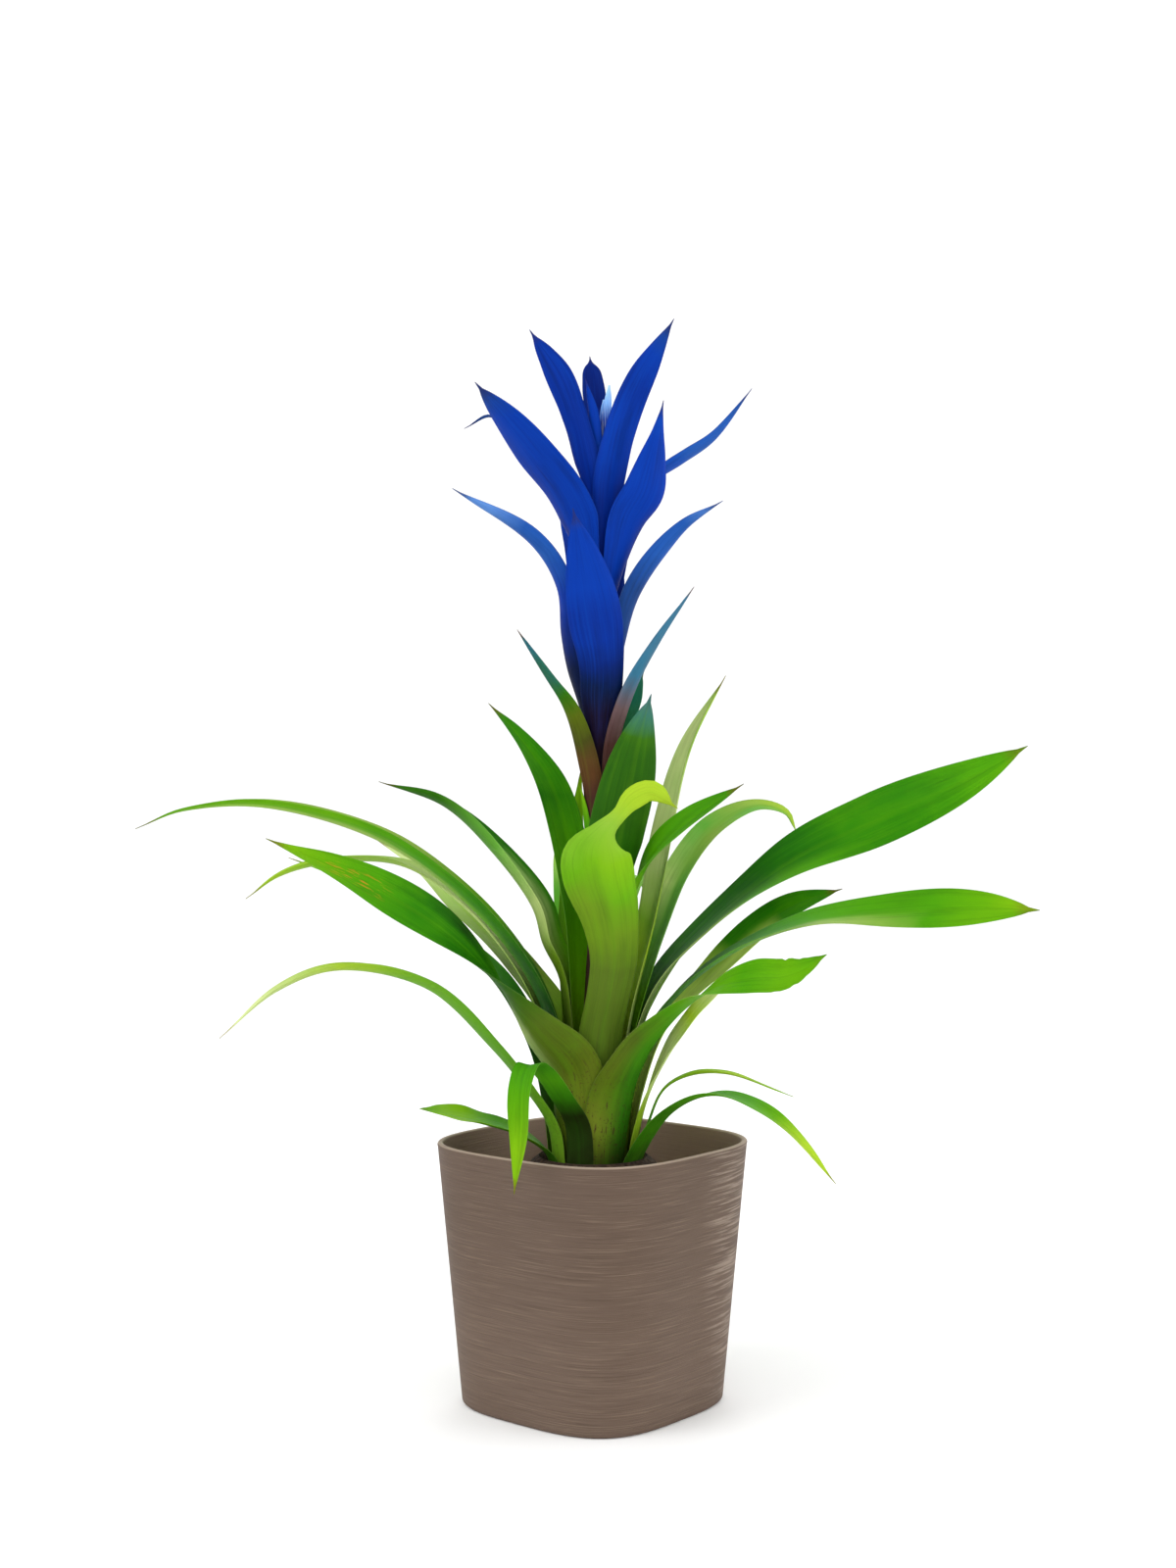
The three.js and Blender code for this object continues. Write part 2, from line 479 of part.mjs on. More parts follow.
// Florets: slender closed buds whose feet are sunk in one small base at the top of the stalk.
function floretsGeometry() {
  const buds = [[345, 5.2, 496, 2.3], [60, 4.6, 490, 1.9], [200, 3.6, 472, 1.6]];
  const outline = [[0, 0.6], [0.3, 0.7], [0.6, 1], [0.85, 0.8], [1, 0.25]];
  const solid = (geometry) => new wasm.Manifold(new wasm.Mesh({
    numProp: 3,
    vertProperties: new Float32Array(geometry.getAttribute("position").array),
    triVerts: new Uint32Array(geometry.index.array),
  }));
  const round = (steps, centreAt) => solid(stackedRings(steps.map(([height, radius]) => {
    const centre = centreAt(height);
    return Array.from({ length: 12 }, (_, i) => {
      const turn = (i / 12) * 2 * Math.PI;
      return [centre.x + radius * Math.cos(turn), centre.y + radius * Math.sin(turn), height];
    });
  })));
  const foot = STALK_TOP + 0.4;
  const base = round([[foot, 3.3], [foot + 2.5, 3.5], [foot + 4, 3.1]], () => new THREE.Vector2());
  const bodies = buds.map(([azimuth, lean, top, radius]) => {
    const start = foot + 2;
    const steps = outline.map(([u, size]) => [lerp(start, top, u), radius * size]);
    const centreAt = (height) => {
      const out = lerp(1.9, lean, (height - start) / (top - start));
      return new THREE.Vector2(out * Math.cos(azimuth * DEG), out * Math.sin(azimuth * DEG));
    };
    return round(steps, centreAt);
  });
  const mesh = wasm.Manifold.union([base, ...bodies]).getMesh();
  const points = [];
  for (let i = 0; i < mesh.numVert; i++) {
    points.push([...mesh.vertProperties.subarray(i * mesh.numProp, i * mesh.numProp + 3)]);
  }
  return indexedGeometry(points, [[...mesh.triVerts]]);
}

const twoDigits = (number) => String(number).padStart(2, "0");

const group = new THREE.Group();
group.name = "potted_guzmania";
group.add(meshOf("planter", planterGeometry(), MATERIALS.planter));
group.add(meshOf("nursery_pot", nurseryPotGeometry(), MATERIALS.nursery));
group.add(meshOf("potting_mix", pottingMixGeometry(), MATERIALS.mix));

const plant = new THREE.Group();
plant.name = "plant";
plant.rotation.z = PLANT_TURN * DEG;
plant.add(meshOf("flower_stem", flowerStemGeometry(), MATERIALS.stalk));
LEAVES.forEach((leaf, k) => {
  plant.add(meshOf("leaf_" + twoDigits(k + 1), bladeGeometry({ rows: 14, ...leaf }), MATERIALS.leaf));
});

const head = new THREE.Group();
head.name = "flower_head";
head.position.x = HEAD_SHIFT;
STEM_BRACTS.forEach((bract, k) => {
  head.add(meshOf("stem_bract_" + (k + 1), bladeGeometry({ rows: 10, ...bract }), MATERIALS.stemBract));
});
BRACTS.forEach((bract, k) => {
  head.add(meshOf("bract_" + twoDigits(k + 1), bladeGeometry({ rows: 10, ...bract }), MATERIALS.bract));
});
head.add(meshOf("florets", floretsGeometry(), MATERIALS.floret));
plant.add(head);
group.add(plant);

export default group;
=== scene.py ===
import bisect
import math
import random

import bmesh
import bpy
from mathutils import Euler, Matrix, Vector, noise


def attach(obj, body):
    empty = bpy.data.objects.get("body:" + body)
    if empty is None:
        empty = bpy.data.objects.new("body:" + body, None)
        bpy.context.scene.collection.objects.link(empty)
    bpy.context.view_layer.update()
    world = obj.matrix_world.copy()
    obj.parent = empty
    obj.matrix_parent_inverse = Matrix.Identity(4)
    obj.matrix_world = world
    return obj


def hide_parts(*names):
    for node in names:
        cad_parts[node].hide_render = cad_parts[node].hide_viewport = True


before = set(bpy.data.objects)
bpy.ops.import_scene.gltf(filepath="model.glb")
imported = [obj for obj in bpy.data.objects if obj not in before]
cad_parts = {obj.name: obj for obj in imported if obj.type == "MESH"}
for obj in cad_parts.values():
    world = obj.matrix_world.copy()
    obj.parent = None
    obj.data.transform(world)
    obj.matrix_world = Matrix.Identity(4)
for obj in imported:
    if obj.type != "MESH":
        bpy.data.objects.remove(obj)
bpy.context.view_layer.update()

MM = 0.001

# Sizes, in millimetres and degrees

PLANTER_HEIGHT, PLANTER_RIM_HALF, PLANTER_BASE_HALF = 127, 66.3, 55.6
PLANTER_SQUARENESS = 3.3  # 2 would be round, a high number square
PLANTER_WALL, PLANTER_FLOOR = 2.6, 6
FOOT_ROUND, LIP_ROUND, INNER_ROUND = 2.4, 1.2, 4
NURSERY_BOTTOM, NURSERY_HEIGHT, NURSERY_RIM_RADIUS, NURSERY_BASE_RADIUS = 6.4, 97, 58.5, 42
NURSERY_TOP, NURSERY_WALL, NURSERY_COLLAR = NURSERY_BOTTOM + NURSERY_HEIGHT, 1.1, 14
MIX_EDGE_HEIGHT, MIX_NECK_HEIGHT, MIX_SLACK = 98, 119.5, NURSERY_WALL + 0.35
NECK_RADIUS, NECK_DEPTH = 26.5, 7.7
MIX_WALL_RADIUS = 54.3
PLANT_TURN = 40  # from the planter's front to the side that the photo shows
FOOT = 112.2  # height at which the leaves stand on the mix
CORE_RADIUS, STALK_RADIUS, STALK_TOP = 8.2, 4.1, 455
HEAD_SHIFT = 3  # how far the flower head's axis stands aside from the rosette's
BLADE_THICKNESS = 0.7
TIP_LENGTH, TIP_HALF, SPUR = 4.5, 0.14, 2.0  # a blade's pointed end and the thin dry end past it
WRAP = 0.92  # a sheath's widest half, as a share of its distance from the axis
CREASE_HALF = 0.13  # half width of the crease along the middle, as a share of the blade's half
EDGE_THINNING, TIP_THICKNESS = 0.72, 0.45  # share of the thickness lost at the edge, and left at the tip
WAVE_TURN = 6.28  # one wave of a blade's edge, in radians
FULL_WAVE_HALF = 5  # a blade whose half is narrower than this has lower waves

# The plant's blades, as in the part. Each mark of a path is radius, height and azimuth.

LEAVES = [
    # inner leaves, upright
    dict(path=[[9, FOOT, 315], [9.4, 150, 315], [10.2, 200, 315], [13, 250, 315], [22, 289, 315],
               [31, 320, 314], [38.5, 342, 315]],
         foot=8, width=16, cup=[30, 30, 35, 30], roll=[0, 0, 0, -16, -30, -30], taper=2.8, shoulder=0.66,
         open=0.7),
    dict(path=[[9, FOOT, 140], [9.4, 190, 140], [11.5, 245, 140], [17.5, 276, 140], [28, 302, 140],
               [52, 328, 140], [68, 341, 140]],
         foot=8, width=10.5, cup=26, roll=[0, 0, -10, -25, -20], taper=2.3, shoulder=0.55, open=0.6),
    dict(path=[[10.2, FOOT, 335], [11, 150, 335], [13, 190, 335], [18, 235, 335], [31, 265, 335],
               [48, 281.5, 335], [77, 300, 335]],
         foot=8, width=12, cup=28, roll=[0, 0, 0, 8, 42, 56], taper=2.2, shoulder=0.62),
    dict(path=[[10.2, FOOT, 170], [11, 150, 170], [16, 205, 170], [24.5, 223, 170], [29.5, 240, 170],
               [50, 267.5, 170], [75, 290.5, 170], [106, 301.5, 171]],
         foot=9, width=[9, 11.5, 15.5, 18, 18, 17, 14.4, 9, 0.6], cup=[40, 42, 48, 52],
         roll=[0, 0, 0, 0, 8, 12]),
    dict(path=[[11.4, FOOT, 63], [12.5, 150, 63], [16, 190, 63], [22, 232, 66], [30, 270, 71],
               [42, 308, 72], [60, 336, 72]],
         foot=9, width=8.6, cup=28),
    dict(path=[[12.6, FOOT, 12], [14.3, 150, 12], [19.5, 190, 12], [30, 235, 12], [37.5, 277, 12],
               [48, 318, 12], [66.5, 353, 12]],
         foot=8, width=11, cup=[30, 35, 38, 36], roll=[0, 0, 10, 16, 10], taper=2.3, shoulder=0.6),
    dict(path=[[11.4, FOOT, 276], [13, 150, 278], [17, 180, 284], [24, 200, 289], [28, 215, 291],
               [33.3, 230, 286], [37.7, 242, 281], [41.1, 254.5, 275], [44, 264, 272.3],
               [46, 271.5, 272.6], [48, 279, 276.5], [49.5, 287, 284.8], [51, 294, 291.4],
               [54, 297.5, 300], [58, 290.5, 311]],
         foot=10, width=[10, 10.5, 11, 11.5, 12, 12, 11.5, 11, 11, 11.5, 12.2, 13.2, 14.6, 16.2, 17.6, 16,
         6.6, 3.8, 5.8, 5, 0.6], cup=[30, 30, 34, 30, 20, 16], roll=[0, 0, 0, 0, 0, 0, 0, 0, 0, 12, 30]),
    dict(path=[[12.8, FOOT, 116], [14, 150, 116], [19, 190, 115.5], [28, 232, 113], [33, 265, 108],
               [34, 308, 100]],
         foot=8, width=9.5, cup=28),
    dict(path=[[14, FOOT, 18], [16, 150, 18], [22.5, 190, 18], [35, 229, 18], [47, 257, 18],
               [64, 279, 18], [86, 289.5, 18], [102, 286.5, 18], [107, 279, 18]],
         foot=9, width=13, cup=[30, 34, 40, 36], roll=[0, 0, 8, 14, 24, 40], tip=3, taper=2),
    # middle leaves, arching
    dict(path=[[14, FOOT, 182], [16.5, 150, 182], [20.5, 178, 182], [33, 208, 182], [60, 241, 182],
               [102, 272.5, 182], [160, 290, 182], [200, 288, 182], [220, 280, 183]],
         foot=10, width=18, cup=[40, 42, 46, 48, 46], taper=1.7, shoulder=0.4),
    dict(path=[[15.3, FOOT, 5], [17.6, 150, 5], [20.6, 170, 5], [32, 203, 5], [55, 229, 5],
               [98, 262.5, 5], [140, 282.5, 5], [185, 303, 4], [215, 319, 4]],
         foot=10, width=15, cup=[30, 24, 20, 16], roll=[0, 0, 4, 16, 50, 78, 72], taper=3, shoulder=0.62),
    dict(path=[[17.8, FOOT, 128], [20.6, 150, 128], [30.5, 183, 128], [60, 206, 128], [110, 233, 128],
               [155, 254, 127], [200, 268, 127]],
         foot=10, width=11, cup=26, roll=[0, 0, 0, -12]),
    dict(path=[[15.3, FOOT, 240], [18, 140, 240], [20.8, 162, 238.5], [33.6, 181.5, 220],
               [48, 199.5, 212.5], [71, 225.5, 206], [112, 253, 202], [160, 275, 201]],
         foot=12, width=[12, 14.5, 16, 11.5, 10.6, 12.4, 11.4, 7, 0.6], cup=[30, 30, 22, 20],
         roll=[0, 6, -10, -66, -96, -98, -88]),
    dict(path=[[16.5, FOOT, 350], [19.5, 150, 350], [23, 168, 350], [41, 197, 350], [70, 220, 350],
               [105, 234.5, 350], [145, 239.5, 350], [190, 242, 350], [212, 241.5, 350]],
         foot=10, width=12.2, cup=[30, 24, 20, 16], roll=[0, 0, 0, 3, 6, 19, 38, 51, 54], taper=3.8,
         shoulder=0.7),
    dict(path=[[17.8, FOOT, 43], [21.2, 150, 44], [29.5, 180, 46], [40, 193, 47], [55, 205.6, 48],
               [76.5, 221.4, 48], [100, 235, 48], [139, 253, 48], [175, 264, 48]],
         foot=10, width=9, cup=26, roll=[0, 0, -10, -30, -34]),
    dict(path=[[17.8, FOOT, 290], [19, 130, 291], [22, 154, 300], [27, 166, 308], [33, 176, 314],
               [45, 187.5, 319], [56, 196, 321], [67, 202.5, 321], [80.5, 208.5, 321], [96.5, 212, 321],
               [112, 213.5, 321], [123, 217.5, 321], [133, 223.5, 321]],
         foot=11, width=[11, 12, 12.2, 9.8, 9, 8.8, 9, 8.6, 8.8, 7.4, 1.6], cup=[30, 30, 24, 20],
         roll=[0, 0, 0, 4, 16, 32, 48, 78, 100, 104, 104]),
    dict(path=[[19, FOOT, 14], [20.6, 130, 14], [24.4, 150, 14], [35.5, 180, 14], [61, 206.5, 14],
               [85, 228.5, 14], [104, 240.5, 14], [128, 247.5, 14]],
         foot=9, width=10.6, cup=24, roll=[0, 0, 8, 34, 52], taper=2.6, shoulder=0.6),
    dict(path=[[16.5, FOOT, 163], [19, 150, 163], [30, 195, 163], [62, 236, 163], [100, 260, 163],
               [140, 261, 163], [168, 254, 163], [184, 243, 164]],
         foot=9, width=10, cup=32, roll=[0, 0, 0, 0, -20], taper=3.4, shoulder=0.6),
    dict(path=[[19, FOOT, 84], [23, 150, 84], [40, 198, 84], [78, 234, 82], [120, 249, 80],
               [162, 247, 80], [196, 232, 80]],
         foot=10, width=11, cup=28),
    # outer leaves, low
    dict(path=[[19, FOOT, 250], [22, 136, 250], [38, 152, 247], [60, 168, 246], [73.5, 172, 246],
               [80.5, 163, 246], [82, 142, 246], [83, 117, 244.5]],
         foot=7, width=6.2, cup=26, shoulder=0.74, taper=1.6),
    dict(path=[[20.3, FOOT, 344], [22.8, 130, 344], [26.8, 146, 344], [34, 163, 344], [45, 182, 344],
               [57, 197, 344], [74, 212, 344]],
         foot=8, width=8, cup=24, roll=[0, 10, 35, 40]),
    dict(path=[[19, FOOT, 200], [22, 134, 200], [33, 152, 198], [51, 174, 196], [83, 203.5, 195],
               [125, 213, 194], [154, 203.5, 194], [179, 183, 194]],
         foot=9, width=10.6, cup=38, taper=1.6, roll=[0, 0, 0, -6, -10]),
    dict(path=[[21.6, FOOT, 352], [23, 122, 352], [27, 134, 352], [35, 152, 352], [48, 159.5, 352],
               [66, 160.5, 352], [96, 150.5, 352]],
         foot=7, width=4, cup=30),
    dict(path=[[22.8, FOOT, 326], [26.2, 122, 327], [41, 142, 328], [64, 153.5, 328], [85, 152, 328],
               [108, 140, 328], [129, 120, 328]],
         foot=9, width=7.4, cup=24, roll=[0, 0, 0, 6, 8], taper=2.2),
    dict(path=[[20.3, FOOT, 196], [23.5, 121, 197], [38, 131.5, 196], [56, 138, 195], [84, 145, 195]],
         foot=9, width=10.5, cup=26, roll=[0, -10, -12], tip=3.6, taper=3, shoulder=0.7),
    dict(path=[[21.6, FOOT, 70], [27, 138, 72], [45, 168, 76], [80, 198, 82], [125, 212, 87],
               [165, 205, 89], [192, 184, 90]],
         foot=9, width=10, cup=28),
    dict(path=[[21.6, FOOT, 150], [25, 142, 151], [32, 172, 154], [53, 204, 154.5], [105, 234, 152.5],
               [152, 252, 151], [186, 261, 150]],
         foot=7, width=9, cup=26),
    dict(path=[[20.3, FOOT, 98], [24.5, 140, 98], [35, 175, 98], [60, 215, 97], [102, 246, 97],
               [140, 260, 97], [170, 267, 97]],
         foot=9, width=11, cup=26),
]

STEM_BRACTS = [
    dict(path=[[5.2, 262, 200], [6.6, 276, 200], [8, 289, 200], [9.5, 299, 200]],
         foot=4, width=4, cup=40),
    dict(path=[[5.2, 274, 235], [6.5, 288, 235], [8.4, 305, 232], [17, 335, 219], [29, 351.5, 215],
               [46.5, 373, 215]],
         foot=5.5, width=[5.5, 6.4, 6.7, 6.2, 5, 3.3, 1.9, 0.6], cup=40),
    dict(path=[[5.2, 275, 50], [6.6, 289, 50], [9.2, 310, 48], [14.4, 330, 42], [21.5, 345, 38],
               [27.8, 356, 38]],
         foot=5.5, width=9.6, cup=40, roll=[0, 0, 10, 16], shoulder=0.66, taper=2),
    dict(path=[[5.2, 287, 330], [7.2, 308, 332], [10, 325, 335], [18.5, 348, 335], [31, 369, 335],
               [49, 394, 335]],
         foot=5.5, width=7.4, cup=40, shoulder=0.4, taper=1.6),
]

BRACTS = [
    dict(path=[[5.2, 298, 80], [9.4, 330, 80], [14.5, 357, 80], [18.5, 380, 80], [25, 402, 78],
               [34, 421, 76], [46, 434, 75]],
         foot=5.5, width=11.4, cup=[50, 44, 36, 30]),
    dict(path=[[5.2, 298, 272], [7.4, 320, 272], [11, 339, 274], [15.5, 357, 274.5], [19, 375, 267],
               [23.5, 396, 258.5], [34, 430, 249]],
         foot=5.5, width=[5.5, 7.6, 9.8, 11, 11.4, 12.4, 14.3, 13.3, 10.3, 5.9, 0.6],
         cup=[50, 44, 38, 34]),
    dict(path=[[5.2, 320, 198], [9.2, 338, 196.5], [15.2, 358, 192.5], [18, 375, 189], [20, 398, 184],
               [33, 419.5, 183], [70, 444, 184]],
         foot=5.5, width=10.5, cup=[50, 50, 52, 50], roll=[0, 0, 6, 12], shoulder=0.45, taper=1.9),
    dict(path=[[5.2, 323, 345], [8, 345, 345], [12.5, 370, 345], [18.5, 392, 345], [30, 411, 345],
               [44, 426.5, 345], [60, 436.5, 345]],
         foot=5.5, width=10, cup=[50, 50, 46, 40], roll=[0, 0, -18, -24], taper=1.8),
    dict(path=[[5.2, 338, 110], [9.6, 368, 110], [17, 392, 110], [28, 413, 110], [43, 436, 110],
               [58, 460, 109]],
         foot=5.5, width=9.5, cup=[50, 40, 30]),
    dict(path=[[5.2, 350, 68], [9, 376, 68], [16, 400, 68], [29, 424, 68], [47, 446, 68], [63, 460, 68]],
         foot=5.5, width=8.4, cup=[50, 40, 30]),
    dict(path=[[5.2, 352, 222], [6.6, 368, 222], [8.6, 392, 221], [12, 420, 218], [21.5, 440, 216],
               [39.5, 459, 215], [70, 488.5, 215]],
         foot=5.5, width=14, cup=[50, 40, 24, 24], roll=[0, 0, 4, 6], shoulder=0.6, taper=2.8),
    dict(path=[[5.2, 367, 328], [7.6, 390, 327], [12.8, 410, 323], [19.4, 428.6, 322], [28, 442, 325],
               [32.5, 458, 325], [37, 483, 325.5]],
         foot=5.5, width=[5, 6, 7, 8.4, 10, 11.4, 12, 11, 7.6, 3.4, 0.6], cup=[50, 40, 30, 26],
         roll=[0, 0, -14, -28, -28, -26]),
    dict(path=[[5.2, 388, 160], [9, 412, 160], [17, 434, 160], [30, 457, 160], [45, 476, 160],
               [58, 484.5, 160], [70, 480, 160]],
         foot=5.5, width=7, cup=[50, 40, 34]),
    dict(path=[[5.2, 395, 15], [9, 415, 15], [16, 436, 15], [28, 450, 15], [44, 461, 15], [60, 473, 15],
               [78, 497, 15]],
         foot=5.5, width=9.5, cup=[50, 46, 40], roll=[0, 0, -20, -24], taper=1.8, shoulder=0.46),
    dict(path=[[5.2, 408, 90], [8.5, 430, 90], [16, 452, 90], [28, 472, 90], [44, 487, 90]],
         foot=5.5, width=7.5, cup=[50, 40, 30]),
    dict(path=[[5.2, 405, 300], [8.8, 432, 302], [12.2, 458, 310], [16.6, 478, 319], [24.5, 496, 324],
               [41.5, 522, 327]],
         foot=5.5, width=[5.2, 7, 8.6, 9.6, 9.4, 8.6, 8.2, 7.6, 6.2, 3.6, 0.6], cup=[50, 44, 36, 28],
         roll=[0, 0, -5, -20, -28, -26]),
    dict(path=[[5.2, 421, 226], [6.6, 442, 226], [10, 461, 216], [14, 480, 207], [20, 499, 196],
               [33, 521.5, 183]],
         foot=5, width=[5, 6, 7.4, 8.6, 8, 7, 6.8, 7.2, 6.6, 4.2, 0.6], cup=[50, 46, 36, 30],
         roll=[0, 0, 12, 30, 36, 38]),
    dict(path=[[4.45, 448, 245], [5, 466, 244], [6.6, 482, 240], [9.8, 496, 231]],
         foot=4, width=3.8, cup=40),
    dict(path=[[4.4, 452, 100], [7.6, 470, 100], [12.5, 488, 100], [20, 505, 100], [25, 514, 100]],
         foot=4.4, width=[4.2, 5.2, 6, 6.4, 6.4, 6.2, 5.8, 4.6, 0.6], cup=36),
]

# Numbers


def clamp(value, low=0.0, high=1.0):
    return max(low, min(high, value))


def smoothstep(value, low, high):
    t = clamp((value - low) / (high - low))
    return t * t * (3 - 2 * t)


def lerp(a, b, t):
    return a + (b - a) * t


def value_along(values, u):
    """A value given at equal steps along the blade, read at u on a smooth curve through them."""
    last = len(values) - 1
    if last < 1:
        return values[0]
    place = u * last
    k = min(int(place), last - 1)
    t = place - k
    a, b, c, d = (values[int(clamp(i, 0, last))] for i in (k - 1, k, k + 1, k + 2))
    return b + (t * (c - a + t * (2 * a - 5 * b + 4 * c - d + t * (3 * (b - c) + d - a)))) / 2


def value_between(marks, place):
    """A value read at a place on straight lines between marks (place, value)."""
    for (p0, v0), (p1, v1) in zip(marks, marks[1:]):
        if place <= p1:
            return lerp(v0, v1, clamp((place - p0) / (p1 - p0)))
    return marks[-1][1]


# Spines: smooth curves through the marks of a path


class Spine:
    """A centripetal Catmull-Rom curve through marks [radius, height, azimuth], read by length."""

    STEPS = 400

    def __init__(self, path):
        self.marks = [Vector((r * math.cos(math.radians(a)), r * math.sin(math.radians(a)), z))
                      for r, z, a in path]
        self.lengths = [0.0]
        points = [self.place(k / self.STEPS) for k in range(self.STEPS + 1)]
        for before, after in zip(points, points[1:]):
            self.lengths.append(self.lengths[-1] + (after - before).length)
        self.length = self.lengths[-1]

    def place(self, t):
        marks = self.marks
        spot = t * (len(marks) - 1)
        k = min(int(spot), len(marks) - 2)
        weight = spot - k
        p1, p2 = marks[k], marks[k + 1]
        p0 = marks[k - 1] if k else 2 * marks[0] - marks[1]
        p3 = marks[k + 2] if k + 2 < len(marks) else 2 * marks[-1] - marks[-2]
        d0, d1, d2 = ((b - a).length ** 0.5 for a, b in ((p0, p1), (p1, p2), (p2, p3)))
        t1 = ((p1 - p0) / d0 - (p2 - p0) / (d0 + d1) + (p2 - p1) / d1) * d1
        t2 = ((p2 - p1) / d1 - (p3 - p1) / (d1 + d2) + (p3 - p2) / d2) * d1
        rise = weight * (t1 + weight * (3 * (p2 - p1) - 2 * t1 - t2 + weight * (2 * (p1 - p2) + t1 + t2)))
        return p1 + rise

    def step_at(self, u):
        """The curve's own step at the share u of its length."""
        wanted = u * self.length
        k = clamp(bisect.bisect_right(self.lengths, wanted) - 1, 0, self.STEPS - 1)
        span = self.lengths[k + 1] - self.lengths[k]
        return (k + (wanted - self.lengths[k]) / span) / self.STEPS

    def at(self, u):
        return self.place(self.step_at(u))

    def along(self, u):
        t = self.step_at(u)
        return (self.place(min(t + 1e-4, 1)) - self.place(max(t - 1e-4, 0))).normalized()


def frames_along(path, rows):
    """At each row: share of the length, place, across, inward, along. At the foot, across is level."""
    spine = Spine(path)
    start = math.radians(path[0][2])
    across = Vector((-math.sin(start), math.cos(start), 0))
    fine = 4
    frames = []
    for k in range(rows * fine + 1):
        u = k / (rows * fine)
        along = spine.along(u)
        across = (across - across.dot(along) * along).normalized()
        if k % fine == 0:
            frames.append((u, spine.at(u), across.copy(), along.cross(across), along))
    return frames, spine.length


# Making a piece and handing it to the frame

PLANT = Matrix.Rotation(math.radians(PLANT_TURN), 4, "Z")
HEAD = PLANT @ Matrix.Translation((HEAD_SHIFT * MM, 0, 0))


def placed(name, data):
    """A new object of the data, in the scene."""
    made = bpy.data.objects.new(name, data)
    bpy.context.collection.objects.link(made)
    return made


def piece(name, points, faces, maps=None):
    """A smooth-shaded mesh object; maps is one (across, along) pair a face corner."""
    mesh = bpy.data.meshes.new(name)
    mesh.from_pydata([tuple(p) for p in points], [], faces)
    if maps:
        layer = mesh.uv_layers.new(name="blade")
        layer.data.foreach_set("uv", [number for pair in maps for number in pair])
    mesh.polygons.foreach_set("use_smooth", [True] * len(mesh.polygons))
    mesh.validate()
    mesh.update()
    return placed(name, mesh)


def piece_of(name, mesh):
    """An object made of a bmesh that isn't needed any more."""
    data = bpy.data.meshes.new(name)
    mesh.to_mesh(data)
    mesh.free()
    return placed(name, data)


def hand_over(made, surface, node=None, place=None):
    """Puts the piece on the frame with its finish, in its CAD node's place if it has one."""
    if place is not None:
        made.data.transform(place)
    made.data.materials.append(surface)
    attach(made, "root")
    if node:
        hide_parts(node)


def ring(count, reach, height, centre=(0, 0)):
    """A ring of points. Its reach and height are numbers, or functions of the turn round it."""
    points = []
    for i in range(count):
        turn = math.tau * i / count
        out, up = (value(turn) if callable(value) else value for value in (reach, height))
        points.append(Vector((centre[0] + out * math.cos(turn), centre[1] + out * math.sin(turn), up)) * MM)
    return points


def stacked_rings(name, rings, close=True):
    """A body of stacked rings from the lowest outside ring over the rim and down the inside."""
    count = len(rings[0])
    points = [p for level in rings for p in level]
    faces = []
    for k in range(len(rings) - 1):
        for i in range(count):
            a, b = k * count + i, k * count + (i + 1) % count
            faces.append([a, b, b + count, a + count])
    if close:
        for level, order in ((0, -1), (len(rings) - 1, 1)):
            middle = sum((Vector(p) for p in rings[level]), Vector()) / count
            points.append(middle)
            for i in range(count):
                a, b = level * count + i, level * count + (i + 1) % count
                faces.append([len(points) - 1, a, b][::order])
    return piece(name, points, faces)


# Blades: leaves and bracts


def half_width_along(blade, u):
    foot, width, tip = blade["foot"], blade["width"], blade.get("tip", 0.6)
    if isinstance(width, list):
        return max(value_along(width, u), tip)
    opened = lerp(foot, width, smoothstep(u, 0.02, 0.34))
    shoulder = blade.get("shoulder", 0.5)
    past = clamp((u - shoulder) / (1 - shoulder))
    return max(opened * (1 - past ** blade.get("taper", 1.8)), lerp(opened, tip, past))


def cup_along(blade, u, sheath):
    cups = blade["cup"] if isinstance(blade["cup"], list) else [blade["cup"]]
    return lerp(sheath, math.radians(value_along(cups, u)), smoothstep(u, 0.1, blade.get("open", 0.5)))


def torn_away(torn, u, share, seed):
    """How much of the half width a ragged tip has lost at a share of the way across."""
    if not torn or abs(share) <= 0.5:
        return 0
    return torn * smoothstep(u, 0.8, 0.94) * max(0, noise.noise(Vector((u * 46, share * 2, seed))))


